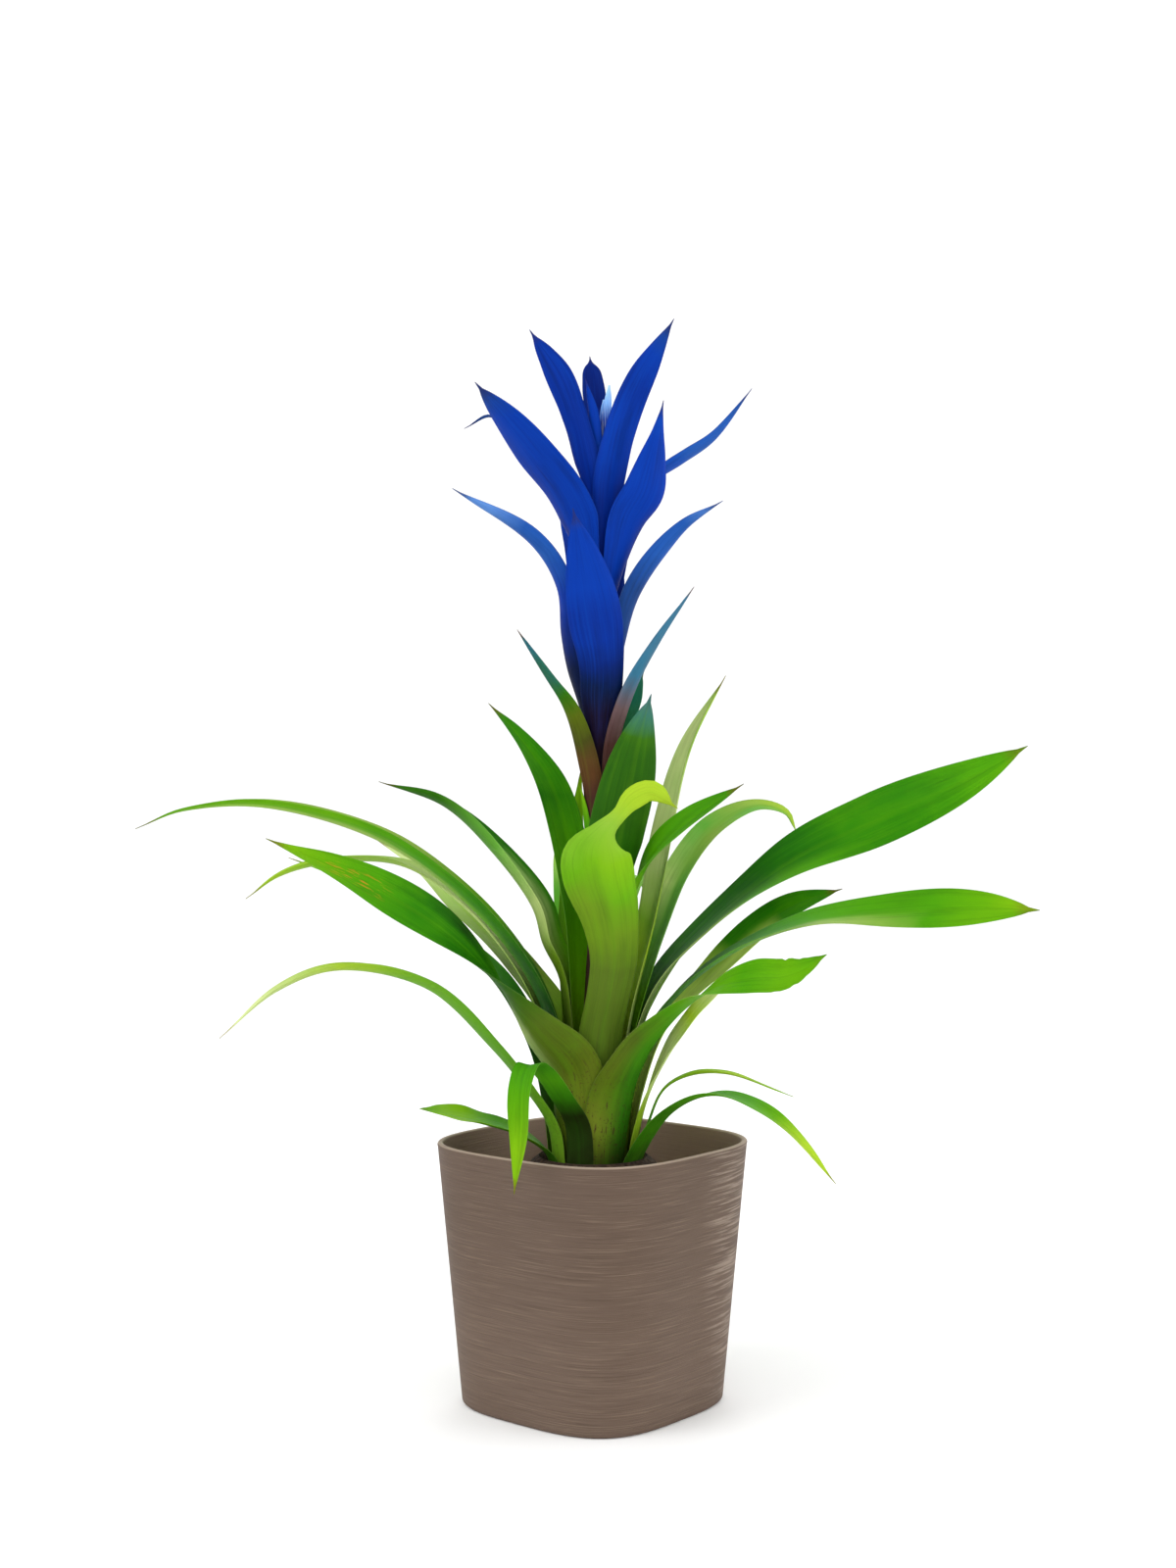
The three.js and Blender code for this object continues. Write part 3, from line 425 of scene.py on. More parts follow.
def blade_mesh(name, blade, rows=84, columns=16, wave=0.5, crease=0.35, seed=0, torn=0.0):
    """A thin closed blade: its upper face is 0 to 1 across in the map, its under face 1 to 2."""
    draw = random.Random(seed)
    turns = [draw.uniform(0, WAVE_TURN) for _ in range(4)]
    beats = [draw.uniform(1.6, 2.6), draw.uniform(3.4, 5.2)]
    frames, length = frames_along(blade["path"], rows)
    tip_share = clamp(TIP_LENGTH / length, 0.01, 0.08)
    # columns lie closer together towards the two edges
    shares = [math.sin(math.pi * (j / columns - 0.5)) for j in range(columns + 1)]
    upper, lower = [], []
    for u, point, across, inward, along in frames:
        turn = math.radians(value_along(blade.get("roll", [0]), u))
        side = across * math.cos(turn) + inward * math.sin(turn)
        face = inward * math.cos(turn) - across * math.sin(turn)
        reach = math.hypot(point.x, point.y)
        half = min(half_width_along(blade, u), WRAP * reach)
        cup = cup_along(blade, u, half / reach)
        # waves and crease fade out where the blade nests between its neighbours, and at its tip
        loose = smoothstep(u, 0.38, 0.62) * (1 - 0.7 * smoothstep(u, 0.86, 1))
        # close to the tip the blade draws in to a point, and a thin dry end runs on past it
        ending = clamp((1 - u) / tip_share)
        half *= max(ending ** 0.6, TIP_HALF / max(half, TIP_HALF))
        point = point + along * (SPUR * (1 - ending) ** 2)
        for share in shares:
            bend = cup * share
            normal = face * math.cos(bend) - side * math.sin(bend)
            radius = half * (1 - torn_away(torn, u, share, seed)) / cup
            place = point + side * (radius * math.sin(bend)) + face * (radius * (1 - math.cos(bend)))
            slow, quick = turns[:2] if share < 0 else turns[2:]
            ripple = (math.sin(beats[0] * WAVE_TURN * u + slow)
                      + 0.5 * math.sin(beats[1] * WAVE_TURN * u + quick))
            groove = crease * loose * math.exp(-(share / CREASE_HALF) ** 2)
            lift = (wave * loose * share * share * ripple - groove) * clamp(half / FULL_WAVE_HALF)
            thick = BLADE_THICKNESS / 2 * (1 - EDGE_THINNING * abs(share) ** 6)
            thick *= lerp(1, TIP_THICKNESS, smoothstep(u, 0.9, 1))
            upper.append((place + normal * (lift + thick)) * MM)
            lower.append((place + normal * (lift - thick)) * MM)
    faces, maps = blade_faces(rows, columns)
    return piece(name, upper + lower, faces, maps)


def blade_faces(rows, columns):
    """Faces over a blade's upper and lower points and round its edge, with their places in the map."""
    faces, maps = [], []

    def spot(i, j, below, across=None):
        """A corner: its point, its place across in the map and its share along."""
        index = (below * (rows + 1) + i) * (columns + 1) + j
        return index, (j / columns if across is None else across) + below, i / rows

    def patch(*corners):
        faces.append([corner[0] for corner in corners])
        maps.extend((corner[1], corner[2]) for corner in corners)

    for i in range(rows):
        for j in range(columns):
            patch(spot(i, j, 0), spot(i + 1, j, 0), spot(i + 1, j + 1, 0), spot(i, j + 1, 0))
            patch(spot(i, j, 1), spot(i, j + 1, 1), spot(i + 1, j + 1, 1), spot(i + 1, j, 1))
        last = columns
        patch(spot(i, 0, 0), spot(i, 0, 1, -1), spot(i + 1, 0, 1, -1), spot(i + 1, 0, 0))
        patch(spot(i, last, 0), spot(i + 1, last, 0), spot(i + 1, last, 1, 0), spot(i, last, 1, 0))
    for j in range(columns):
        for i, order in ((0, 1), (rows, -1)):
            ends = [spot(i, j, 0), spot(i, j + 1, 0), spot(i, j + 1, 1), spot(i, j, 1)]
            patch(*ends[::order])
    return faces, maps


# Surfaces. A colour is given by paint, or as three shares of linear light.


def maths(operation, turned=False):
    """An operator that adds one Math node; turned puts the other number first, as in 1 - mask."""

    def operate(value, *other):
        numbers = (*other, value) if turned else (value, *other)
        return value.surface.number("ShaderNodeMath", {"operation": operation}, dict(enumerate(numbers)))

    return operate


class Value:
    """A number that varies over a surface, for sums and products."""

    def __init__(self, surface, socket):
        self.surface, self.socket = surface, socket

    __add__, __radd__ = maths("ADD"), maths("ADD", turned=True)
    __sub__, __rsub__ = maths("SUBTRACT"), maths("SUBTRACT", turned=True)
    __mul__, __rmul__ = maths("MULTIPLY"), maths("MULTIPLY", turned=True)
    __truediv__, __rtruediv__ = maths("DIVIDE"), maths("DIVIDE", turned=True)
    __pow__, __rpow__ = maths("POWER"), maths("POWER", turned=True)
    __gt__, __lt__ = maths("GREATER_THAN"), maths("LESS_THAN")
    __abs__ = maths("ABSOLUTE")


class Surface:
    """A material made of nodes round one shader."""

    def __init__(self, name, gloss):
        self.material = bpy.data.materials.new(name)
        self.material.use_nodes = True
        self.tree = self.material.node_tree
        self.shader = self.tree.nodes["Principled BSDF"]
        self.shader.inputs["Specular IOR Level"].default_value = gloss
        self.here = self.add("ShaderNodeTexCoord").outputs["Object"]

    def add(self, kind, settings=None, inputs=None):
        node = self.tree.nodes.new(kind)
        for key, value in (settings or {}).items():
            if key == "stops":
                ramp = node.color_ramp
                while len(ramp.elements) < len(value):
                    ramp.elements.new(0.5)
                for element, (place, colour) in zip(ramp.elements, value):
                    element.position = place
                    element.color = (*colour, 1)
            else:
                setattr(node, key, value)
        for key, value in (inputs or {}).items():
            self.feed(node.inputs[key], value)
        return node

    def feed(self, socket, value):
        if isinstance(value, Value):
            value = value.socket
        if isinstance(value, bpy.types.NodeSocket):
            self.tree.links.new(value, socket)
        else:
            socket.default_value = (*value, 1) if socket.type == "RGBA" else value

    def number(self, kind, settings=None, inputs=None, output=0):
        return Value(self, self.add(kind, settings, inputs).outputs[output])

    def parts(self, vector):
        split = self.add("ShaderNodeSeparateXYZ", None, {0: vector})
        return [Value(self, output) for output in split.outputs]

    def noise_at(self, vector, scale, detail, roughness, distortion=0.0):
        return self.number("ShaderNodeTexNoise", None, {
            "Vector": vector, "Scale": scale, "Detail": detail, "Roughness": roughness,
            "Distortion": distortion})

    def grain(self, scale, detail=3.0, roughness=0.5, distortion=0.0):
        """Noise over the piece; its scale is one number, or three where it is drawn out one way."""
        if not isinstance(scale, tuple):
            return self.noise_at(self.here, scale, detail, roughness, distortion)
        drawn_out = self.add("ShaderNodeVectorMath", {"operation": "MULTIPLY"}, {0: self.here, 1: scale})
        return self.noise_at(drawn_out.outputs[0], 1.0, detail, roughness, distortion)

    def band(self, value, low, high):
        """Rises smoothly from 0 to 1 as the value goes from low to high."""
        return self.number("ShaderNodeMapRange", {"interpolation_type": "SMOOTHSTEP"},
                           {0: value, 1: low, 2: high})

    def steps(self, value, colours):
        """Colours at equal steps of a value from 0 to 1."""
        stops = [(k / (len(colours) - 1), colour) for k, colour in enumerate(colours)]
        return self.add("ShaderNodeValToRGB", {"stops": stops}, {0: value}).outputs[0]

    def mix(self, factor, first, second):
        return self.add("ShaderNodeMix", {"data_type": "RGBA"}, {0: factor, 6: first, 7: second}).outputs[2]

    def tint(self, colour, tone, share, value, low, high):
        """Mixes in a share of a tone as the value goes from low to high."""
        return self.mix(self.band(value, low, high) * share, colour, tone)

    def finish(self, colour, roughness, relief, distance):
        self.feed(self.shader.inputs["Base Color"], colour)
        self.feed(self.shader.inputs["Roughness"], roughness)
        bump = self.add("ShaderNodeBump", None, {"Height": relief, "Distance": distance, "Strength": 1.0})
        self.feed(self.shader.inputs["Normal"], bump.outputs[0])
        return self.material


class BladeSurface(Surface):
    """A surface with a blade's map: along runs from foot to tip, across from one edge to the other."""

    def __init__(self, name, blade, seed, gloss):
        super().__init__(name, gloss)
        self.seed, self.length = float(seed), Spine(blade["path"]).length
        self.width = max(blade["width"]) if isinstance(blade["width"], list) else blade["width"]
        across, self.along, _ = self.parts(self.add("ShaderNodeUVMap", {"uv_map": "blade"}).outputs[0])
        self.under = across > 1.0
        self.across = across - self.under
        self.off_middle = abs(self.across * 2 - 1)

    def lengthwise(self, across, along, shift, detail=2.0, roughness=0.6):
        """Grain that runs along the blade, with so many marks a millimetre across and along."""
        spot = self.add("ShaderNodeCombineXYZ", None, {
            0: self.across * (self.width * across), 1: self.along * (self.length * along),
            2: self.seed + shift})
        return self.noise_at(spot.outputs[0], 1.0, detail, roughness)


def paint(red, green, blue):
    """A colour given as a paint chart gives it, 0 to 255, as the shader needs it."""
    return tuple(c / 255 / 12.92 if c < 11 else ((c / 255 + 0.055) / 1.055) ** 2.4
                 for c in (red, green, blue))


GREENS = {
    # umbra is painted shade: a near-black green for the feet of leaves where they go down among the others
    "umbra": paint(12, 24, 4),
    "earth": paint(60, 56, 14),
    "olive": paint(78, 92, 6),
    "moss": paint(76, 98, 22),
    "sap": paint(98, 132, 20),
    "shade": paint(14, 54, 2),
    "forest": paint(16, 80, 2),
    "deep": paint(28, 100, 2),
    "leaf": paint(44, 120, 2),
    "fresh": paint(68, 142, 4),
    "bright": paint(92, 156, 4),
    "lime": paint(120, 172, 10),
    "apple": paint(134, 178, 52),
    "mint": paint(104, 172, 66),
    "yellow": paint(164, 196, 40),
    "lemon": paint(200, 228, 96),
    "straw": paint(118, 130, 34),
    "pale": paint(140, 172, 72),
    "milk": paint(190, 208, 130),
    "cream": paint(224, 232, 168),
    "grey": paint(116, 126, 82),
    "jade": paint(44, 138, 70),
    "lagoon": paint(38, 132, 96),
    "teal": paint(22, 90, 78),
    "petrol": paint(28, 94, 112),
    "steel": paint(44, 108, 142),
    "rose": paint(104, 78, 86),
    "plum": paint(46, 20, 18),
    "wine": paint(66, 22, 30),
    "rust": paint(84, 46, 26),
}
BLUES = {
    "ink": paint(22, 6, 14),
    "night": paint(4, 16, 50),
    "navy": paint(2, 28, 104),
    "marine": paint(2, 40, 136),
    "royal": paint(2, 50, 154),
    "cobalt": paint(4, 64, 168),
    "slate": paint(26, 62, 122),
    "azure": paint(32, 82, 162),
    "sky": paint(90, 136, 204),
    "mist": paint(136, 160, 196),
}


def tones_of(chart, names):
    return [chart[name] for name in names.split()]


def leaf_surface(name, blade, seed, tones, second=None, split=(0.35, 0.65), under_pale=0.06, edge_pale=0.35,
                 brown_tip=0.6, flecks=0.5, scratched=0.0, light=GREENS["bright"], dark=GREENS["shade"]):
    """Living leaf: tones from foot to tip, fine veins lengthwise, a pale edge and a paler under face."""
    leaf = BladeSurface(name, blade, seed, 0.05)
    fine = leaf.lengthwise(2.6, 0.012, 0)
    broad = leaf.lengthwise(0.55, 0.020, 7, 3.0, 0.55)
    dash = leaf.lengthwise(2.4, 0.11, 4)
    cloud = leaf.grain(38.0)
    speck = leaf.grain(900.0, 2.0, 0.6)
    place = leaf.along + (cloud - 0.5) * 0.12
    colour = leaf.steps(place, tones_of(GREENS, tones))
    if second:
        # the two halves of the blade differ
        half = leaf.band(leaf.across + (broad - 0.5) * 0.24, *split)
        colour = leaf.mix(half, colour, leaf.steps(place, tones_of(GREENS, second)))
    colour = leaf.tint(colour, light, 0.135, broad, 0.46, 0.76)
    colour = leaf.tint(colour, dark, 0.22, broad, 0.52, 0.26)
    colour = leaf.tint(colour, light, 0.091, fine, 0.50, 0.72)
    colour = leaf.tint(colour, dark, 0.20, fine, 0.50, 0.28)
    colour = leaf.tint(colour, light, 0.14, cloud, 0.45, 0.75)
    colour = leaf.tint(colour, light, 0.12, leaf.off_middle, 0.10, 0.0)
    colour = leaf.mix(leaf.under * under_pale, colour, GREENS["pale"])
    edge = leaf.band(leaf.off_middle, 0.93, 0.98) * leaf.band(leaf.along, 0.99, 0.80)
    colour = leaf.mix(edge * (edge_pale * 0.4), colour, GREENS["milk"])
    marks = leaf.band(speck, 0.60, 0.70) + leaf.band(dash, 0.60, 0.70) * 0.8
    colour = leaf.tint(colour, GREENS["wine"], marks * flecks, leaf.along, 0.36, 0.10)
    if scratched:
        # a few healed scratches along the middle of the outer blade
        healed = leaf.band(dash, 0.54, 0.64) * leaf.band(leaf.off_middle, 0.42, 0.15) * scratched
        outer = leaf.band(leaf.along, 0.72, 0.78) * leaf.band(leaf.along, 0.92, 0.86)
        colour = leaf.mix(healed * outer, colour, paint(176, 118, 30))
    dry = leaf.band(leaf.along + (speck - 0.5) * 0.03, 0.955, 0.99) * brown_tip
    colour = leaf.mix(dry, colour, paint(106, 62, 26))
    relief = fine * 0.55 + broad * 0.6 + leaf.grain(1500.0, 2.0) * 0.16
    return leaf.finish(colour, 0.40 + fine * 0.14 + leaf.under * 0.08 + dry * 0.25, relief, 0.35 * MM)


def bract_surface(name, blade, seed, tones, edge_pale=0.0):
    """Blue bract: dark at its foot, a soft lengthwise streak and a darker, drier tip and edge; edge_pale
    paints a highlight along the edge.
    """
    bract = BladeSurface(name, blade, seed, 0.04)
    fine = bract.lengthwise(2.8, 0.018, 0)
    broad = bract.lengthwise(0.45, 0.025, 3, 3.0, 0.5)
    cloud = bract.grain(55.0)
    speck = bract.grain(1100.0, 2.0, 0.6)
    colour = bract.steps(bract.along + (cloud - 0.5) * 0.10, tones_of(BLUES, tones))
    past_foot = bract.band(bract.along, 0.10, 0.42)
    colour = bract.tint(colour, BLUES["cobalt"], past_foot * 0.225, broad, 0.48, 0.74)
    colour = bract.tint(colour, BLUES["night"], 0.27, broad, 0.50, 0.26)
    colour = bract.tint(colour, BLUES["cobalt"], past_foot * 0.25, fine, 0.50, 0.72)
    colour = bract.tint(colour, BLUES["night"], 0.25, fine, 0.50, 0.28)
    colour = bract.mix(bract.under * past_foot * 0.08, colour, BLUES["slate"])
    # painted highlight: edge_pale turns the edge from the bract's own darker slate towards a pale line of
    # light
    edge_tone = tuple(lerp(a, b, edge_pale) for a, b in zip(BLUES["slate"], BLUES["mist"]))
    colour = bract.tint(colour, edge_tone, 0.55, bract.off_middle, 0.93, 1.0)
    dry = bract.band(bract.along + (speck - 0.5) * 0.04, 0.93, 0.99) * 0.8
    colour = bract.mix(dry, colour, paint(36, 40, 92))
    relief = fine * 0.5 + broad * 0.5 + bract.grain(1500.0, 2.0) * 0.15
    return bract.finish(colour, 0.46 + fine * 0.12 + dry * 0.2, relief, 0.3 * MM)


def planter_surface():
    """Taupe body drawn all round with short level brush marks; its inner wall is paler. Painted shade
    darkens its top and its right side, and a painted sheen silvers the marks near its right edge.
    """
    glaze = Surface("brushed_taupe", 0.25)
    x, y, height = glaze.parts(glaze.here)
    out = (abs(x) ** PLANTER_SQUARENESS + abs(y) ** PLANTER_SQUARENESS) ** (1 / PLANTER_SQUARENESS)
    slope = (PLANTER_RIM_HALF - PLANTER_BASE_HALF) / PLANTER_HEIGHT
    hair = glaze.grain((30.0, 30.0, 2000.0), 3.0, 0.6, 0.1)
    stroke = glaze.grain((28.0, 28.0, 900.0), 4.0, 0.62, 0.15)
    sweep = glaze.grain((12.0, 12.0, 130.0), 3.0, 0.5, 0.6)
    dust = glaze.grain(1200.0, 2.0, 0.6)
    # the dark tone serves both as painted shade towards the top and as the colour of the dark brush strokes
    painted_shade_and_stroke_dark = paint(74, 58, 46)
    colour = glaze.steps(sweep, [paint(94, 77, 65), paint(99, 82, 70), paint(104, 87, 75)])
    # painted shade: the body is painted darker towards the top
    colour = glaze.tint(colour, painted_shade_and_stroke_dark, 0.34, height, 20 * MM, 100 * MM)
    side = x * math.cos(math.radians(PLANT_TURN)) + y * math.sin(math.radians(PLANT_TURN))
    # painted shade: the body is painted darker on its right side, as the camera sees it
    colour = glaze.tint(colour, paint(80, 62, 47), 0.20, side, -20 * MM, 20 * MM)
    colour = glaze.tint(colour, paint(124, 105, 88), 0.40, stroke, 0.54, 0.76)
    colour = glaze.tint(colour, painted_shade_and_stroke_dark, 0.45, stroke, 0.46, 0.28)
    colour = glaze.tint(colour, paint(134, 115, 98), 0.40, hair, 0.53, 0.74)
    colour = glaze.tint(colour, paint(68, 54, 43), 0.42, hair, 0.47, 0.28)
    # painted highlight: the brush marks are painted silvery near the right-hand edge, as a sheen
    painted_sheen_edge = glaze.band(side + (hair - 0.5) * (20 * MM), 50 * MM, 66 * MM)
    colour = glaze.tint(colour, paint(172, 156, 142), painted_sheen_edge * 0.42, stroke, 0.46, 0.62)
    base, top, outwards = PLANTER_BASE_HALF, PLANTER_HEIGHT, out - height * slope
    colour = glaze.tint(colour, paint(140, 116, 100), 0.85, outwards, (base - 1.0) * MM, (base - 1.6) * MM)
    colour = glaze.tint(colour, paint(168, 150, 134), 0.7, height, (top - 1.0) * MM, (top - 0.3) * MM)
    relief = hair * 0.5 + stroke * 0.7 + dust * 0.08
    return glaze.finish(colour, 0.55 + stroke * 0.12 + hair * 0.08, relief, 0.4 * MM)


def nursery_surface():
    plastic = Surface("dark_moulded_plastic", 0.4)
    scuff = plastic.grain((60.0, 60.0, 14.0), 5.0, 0.6, 0.6)
    dust = plastic.grain(260.0, 4.0, 0.65)
    colour = plastic.steps(scuff, [(0.010, 0.010, 0.010), (0.022, 0.021, 0.020), (0.034, 0.032, 0.030)])
    colour = plastic.tint(colour, (0.075, 0.060, 0.045), 0.35, dust, 0.55, 0.75)
    return plastic.finish(colour, 0.42 + dust * 0.25, scuff * 0.5 + dust * 0.3, 0.4 * MM)


def mix_surface():
    """Peat and fine bark: dark crumbs of several sizes with a few pale fibres."""
    peat = Surface("peat_and_bark", 0.2)
    crumb, lump = (peat.number("ShaderNodeTexVoronoi", {"feature": feature},
                               {"Vector": peat.here, "Scale": scale}, "Distance")
                   for feature, scale in (("F1", 420.0), ("SMOOTH_F1", 150.0)))
    fine = peat.grain(1400.0, 3.0, 0.7)
    cloud = peat.grain(60.0, 4.0, 0.6)
    fibre = peat.grain((180.0, 900.0, 400.0), 2.0, 0.5, 1.2)
    colour = peat.steps(cloud, [(0.028, 0.017, 0.011), (0.058, 0.036, 0.022), (0.100, 0.064, 0.040)])
    colour = peat.tint(colour, (0.014, 0.009, 0.007), 0.6, crumb, 0.25, 0.65)
    colour = peat.tint(colour, (0.120, 0.072, 0.040), 0.5, fine, 0.60, 0.78)
    colour = peat.tint(colour, (0.200, 0.140, 0.085), 0.5, fibre, 0.70, 0.78)
    relief = (1 - crumb) * 0.6 + (1 - lump) * 0.5 + fine * 0.3
    return peat.finish(colour, 0.86 + fine * 0.12, relief, 1.6 * MM)


def chip_surface(name, dark, light):
    bark = Surface(name, 0.25)
    grain = bark.grain((240.0, 1400.0, 900.0), 4.0, 0.65, 0.8)
    cloud = bark.grain(190.0, 3.0, 0.6)
    colour = bark.mix(bark.band(grain, 0.35, 0.7), dark, light)
    colour = bark.tint(colour, dark, 0.5, cloud, 0.45, 0.7)
    return bark.finish(colour, 0.78 + grain * 0.15, grain, 0.5 * MM)


def stalk_surface():
    """Green at the foot of the rosette, purple-brown where it shows, blue in the head."""
    stalk = Surface("stalk_skin", 0.4)
    height = stalk.parts(stalk.here)[2]
    ribs = stalk.grain((1400.0, 1400.0, 30.0), 2.0)
    cloud = stalk.grain(120.0, 3.0, 0.6)
    share = (height - 110 * MM) / (350 * MM) + (cloud - 0.5) * 0.06
    colour = stalk.steps(share, tones_of({**GREENS, **BLUES}, "moss olive plum wine ink night navy royal"))
    colour = stalk.tint(colour, GREENS["rose"], 0.12, ribs, 0.5, 0.72)
    return stalk.finish(colour, 0.48 + cloud * 0.12, ribs * 0.6 + cloud * 0.3, 0.3 * MM)


def floret_surface():
    bud = Surface("pale_buds", 0.4)
    height = bud.parts(bud.here)[2]
    streak = bud.grain((1600.0, 1600.0, 60.0), 2.0)
    cloud = bud.grain(300.0, 3.0, 0.6)
    share = (height - STALK_TOP * MM) / (40 * MM) + (cloud - 0.5) * 0.1
    pale = [(0.16, 0.40, 0.84), (0.34, 0.60, 0.96)]
    colour = bud.steps(share, tones_of(BLUES, "navy navy navy cobalt") + pale)
    colour = bud.tint(colour, (0.75, 0.84, 0.95), 0.3, streak, 0.5, 0.72)
    return bud.finish(colour, 0.42 + cloud * 0.1, streak * 0.6, 0.2 * MM)


# Planter


def rounded_square(half, height):
    def reach(turn):
        n = PLANTER_SQUARENESS
        return half / (abs(math.cos(turn)) ** n + abs(math.sin(turn)) ** n) ** (1 / n)

    return ring(192, reach, height)


def wall_half(height):
    return lerp(PLANTER_BASE_HALF, PLANTER_RIM_HALF, height / PLANTER_HEIGHT)


def arc(half, height, radius, first, last, steps=5):
    """Points (half width, height) on a turn round a centre, in degrees from outwards to upwards."""
    turns = [math.radians(lerp(first, last, k / steps)) for k in range(steps + 1)]
    return [(half + radius * math.cos(t), height + radius * math.sin(t)) for t in turns]


def planter_profile():
    """From the hollow under the planter up its outer wall, over the lip and down to its floor."""
    foot, rim, lip_height = wall_half(0), wall_half(PLANTER_HEIGHT), PLANTER_HEIGHT - LIP_ROUND
    floor_corner = PLANTER_FLOOR + INNER_ROUND
    profile = [(foot - 14, 0.9), (foot - 8, 0.8), (foot - 6.8, 0.0)]
    profile += arc(wall_half(FOOT_ROUND) - FOOT_ROUND, FOOT_ROUND, FOOT_ROUND, -90, -2, 6)
    profile += [(wall_half(z), z) for z in (6, 12, 24, 40, 56, 72, 88, 104, 116, 122, 124.5)]
    profile += arc(rim - LIP_ROUND, lip_height, LIP_ROUND, 0, 90)
    profile += arc(rim - PLANTER_WALL + LIP_ROUND, lip_height, LIP_ROUND, 90, 180)
    profile += [(wall_half(z) - PLANTER_WALL, z) for z in (122, 112, 96, 76, 56, 36, 18)]
    profile += arc(wall_half(floor_corner) - PLANTER_WALL - INNER_ROUND, floor_corner, INNER_ROUND, 0, -90)
    return profile + [(foot - 16, PLANTER_FLOOR), (foot - 34, PLANTER_FLOOR)]


planter = stacked_rings("planter_shell", [rounded_square(half, z) for half, z in planter_profile()])
hand_over(planter, planter_surface(), "planter")

# Nursery pot


def pot_radius(height):
    return lerp(NURSERY_BASE_RADIUS, NURSERY_RIM_RADIUS - 2.5, (height - NURSERY_BOTTOM) / NURSERY_HEIGHT)


def pot_profile():
    """From under the pot up its wall, over the collar and its rim and down to its floor."""
    base, rim, bottom, top = NURSERY_BASE_RADIUS, NURSERY_RIM_RADIUS, NURSERY_BOTTOM, NURSERY_TOP
    inner, collar_foot = rim - NURSERY_WALL, top - NURSERY_COLLAR
    profile = [(8, bottom), (base - 6, bottom), (base - 1, bottom), (base - 0.2, bottom + 0.5)]
    profile += [(pot_radius(z), z) for z in (10, 25, 45, 65, 80, collar_foot, collar_foot + 1)]
    profile += [(rim - 0.7, top - 12.2), (rim - 0.4, top - 10), (rim - 0.2, top - 2), (rim, top - 0.9),
                (rim - 0.15, top - 0.2), (rim - 0.5, top), (inner + 0.1, top - 0.1), (inner, top - 0.8),
                (inner - 0.4, top - 10), (pot_radius(collar_foot) - NURSERY_WALL, collar_foot)]
    profile += [(pot_radius(z) - NURSERY_WALL, z) for z in (80, 60, 40, 20, 10)]
    return profile + [(base - 2.2, bottom + 1.2), (20, bottom + 1.1), (8, bottom + 1.1)]


nursery = stacked_rings("nursery_pot_shell", [ring(96, r, z) for r, z in pot_profile()])
hand_over(nursery, nursery_surface(), "nursery_pot")

# Potting mix and bark chips

MIX_TOP = [(NECK_RADIUS, MIX_NECK_HEIGHT), (30, MIX_NECK_HEIGHT - 2.6), (35, MIX_EDGE_HEIGHT + 12.4),
           (40, MIX_EDGE_HEIGHT + 8), (47, MIX_EDGE_HEIGHT + 3), (53.05, MIX_EDGE_HEIGHT),
           (54.45, MIX_EDGE_HEIGHT - 2)]


def mix_height(turn, radius):
    """The mix's top: a mound with lumps and clods, smooth at the neck's edge and at the pot's wall."""
    height = value_between(MIX_TOP, radius)
    lump = 0.9 * math.sin(5 * turn + radius * 0.31)
    lump += 0.7 * math.sin(11 * turn - radius * 0.53) * math.cos(radius * 0.4)
    lump *= smoothstep(radius, NECK_RADIUS + 2, 42) * smoothstep(radius, 54.4, 53)
    spot = Vector((radius * math.cos(turn), radius * math.sin(turn), height))
    clod = noise.noise(spot * 0.23) * 1.5 + noise.noise(spot * 0.6) * 0.9 + noise.noise(spot * 1.3) * 0.6
    clod *= 0.12 + 0.88 * smoothstep(radius, 34, 44)
    clod *= smoothstep(radius, NECK_RADIUS + 0.5, NECK_RADIUS + 4) * smoothstep(radius, 54.4, 51)
    return height + lump + clod


def mix_rings(count=240, rows=64):
    """From the mix's foot up the pot's wall, over the mound and down into the hole for the neck."""
    base, bottom, slack = NURSERY_BASE_RADIUS, NURSERY_BOTTOM, MIX_SLACK
    rings = [ring(count, base - slack - 1, bottom + slack), ring(count, base - slack, bottom + slack + 2)]
    rings += [ring(count, pot_radius(z) - slack, z) for z in (30, 55, 75, NURSERY_TOP - NURSERY_COLLAR - 1)]
    rings.append(ring(count, NURSERY_RIM_RADIUS - slack - 2.6, MIX_EDGE_HEIGHT - 2))
    for k in range(rows + 1):
        radius = lerp(MIX_WALL_RADIUS, NECK_RADIUS, k / rows)
        rings.append(ring(count, radius, lambda turn: mix_height(turn, radius)))
    neck_floor = MIX_NECK_HEIGHT - NECK_DEPTH
    return rings + [ring(count, NECK_RADIUS, neck_floor), ring(count, 12, neck_floor)]


hand_over(stacked_rings("mix_mound", mix_rings()), mix_surface(), "potting_mix")


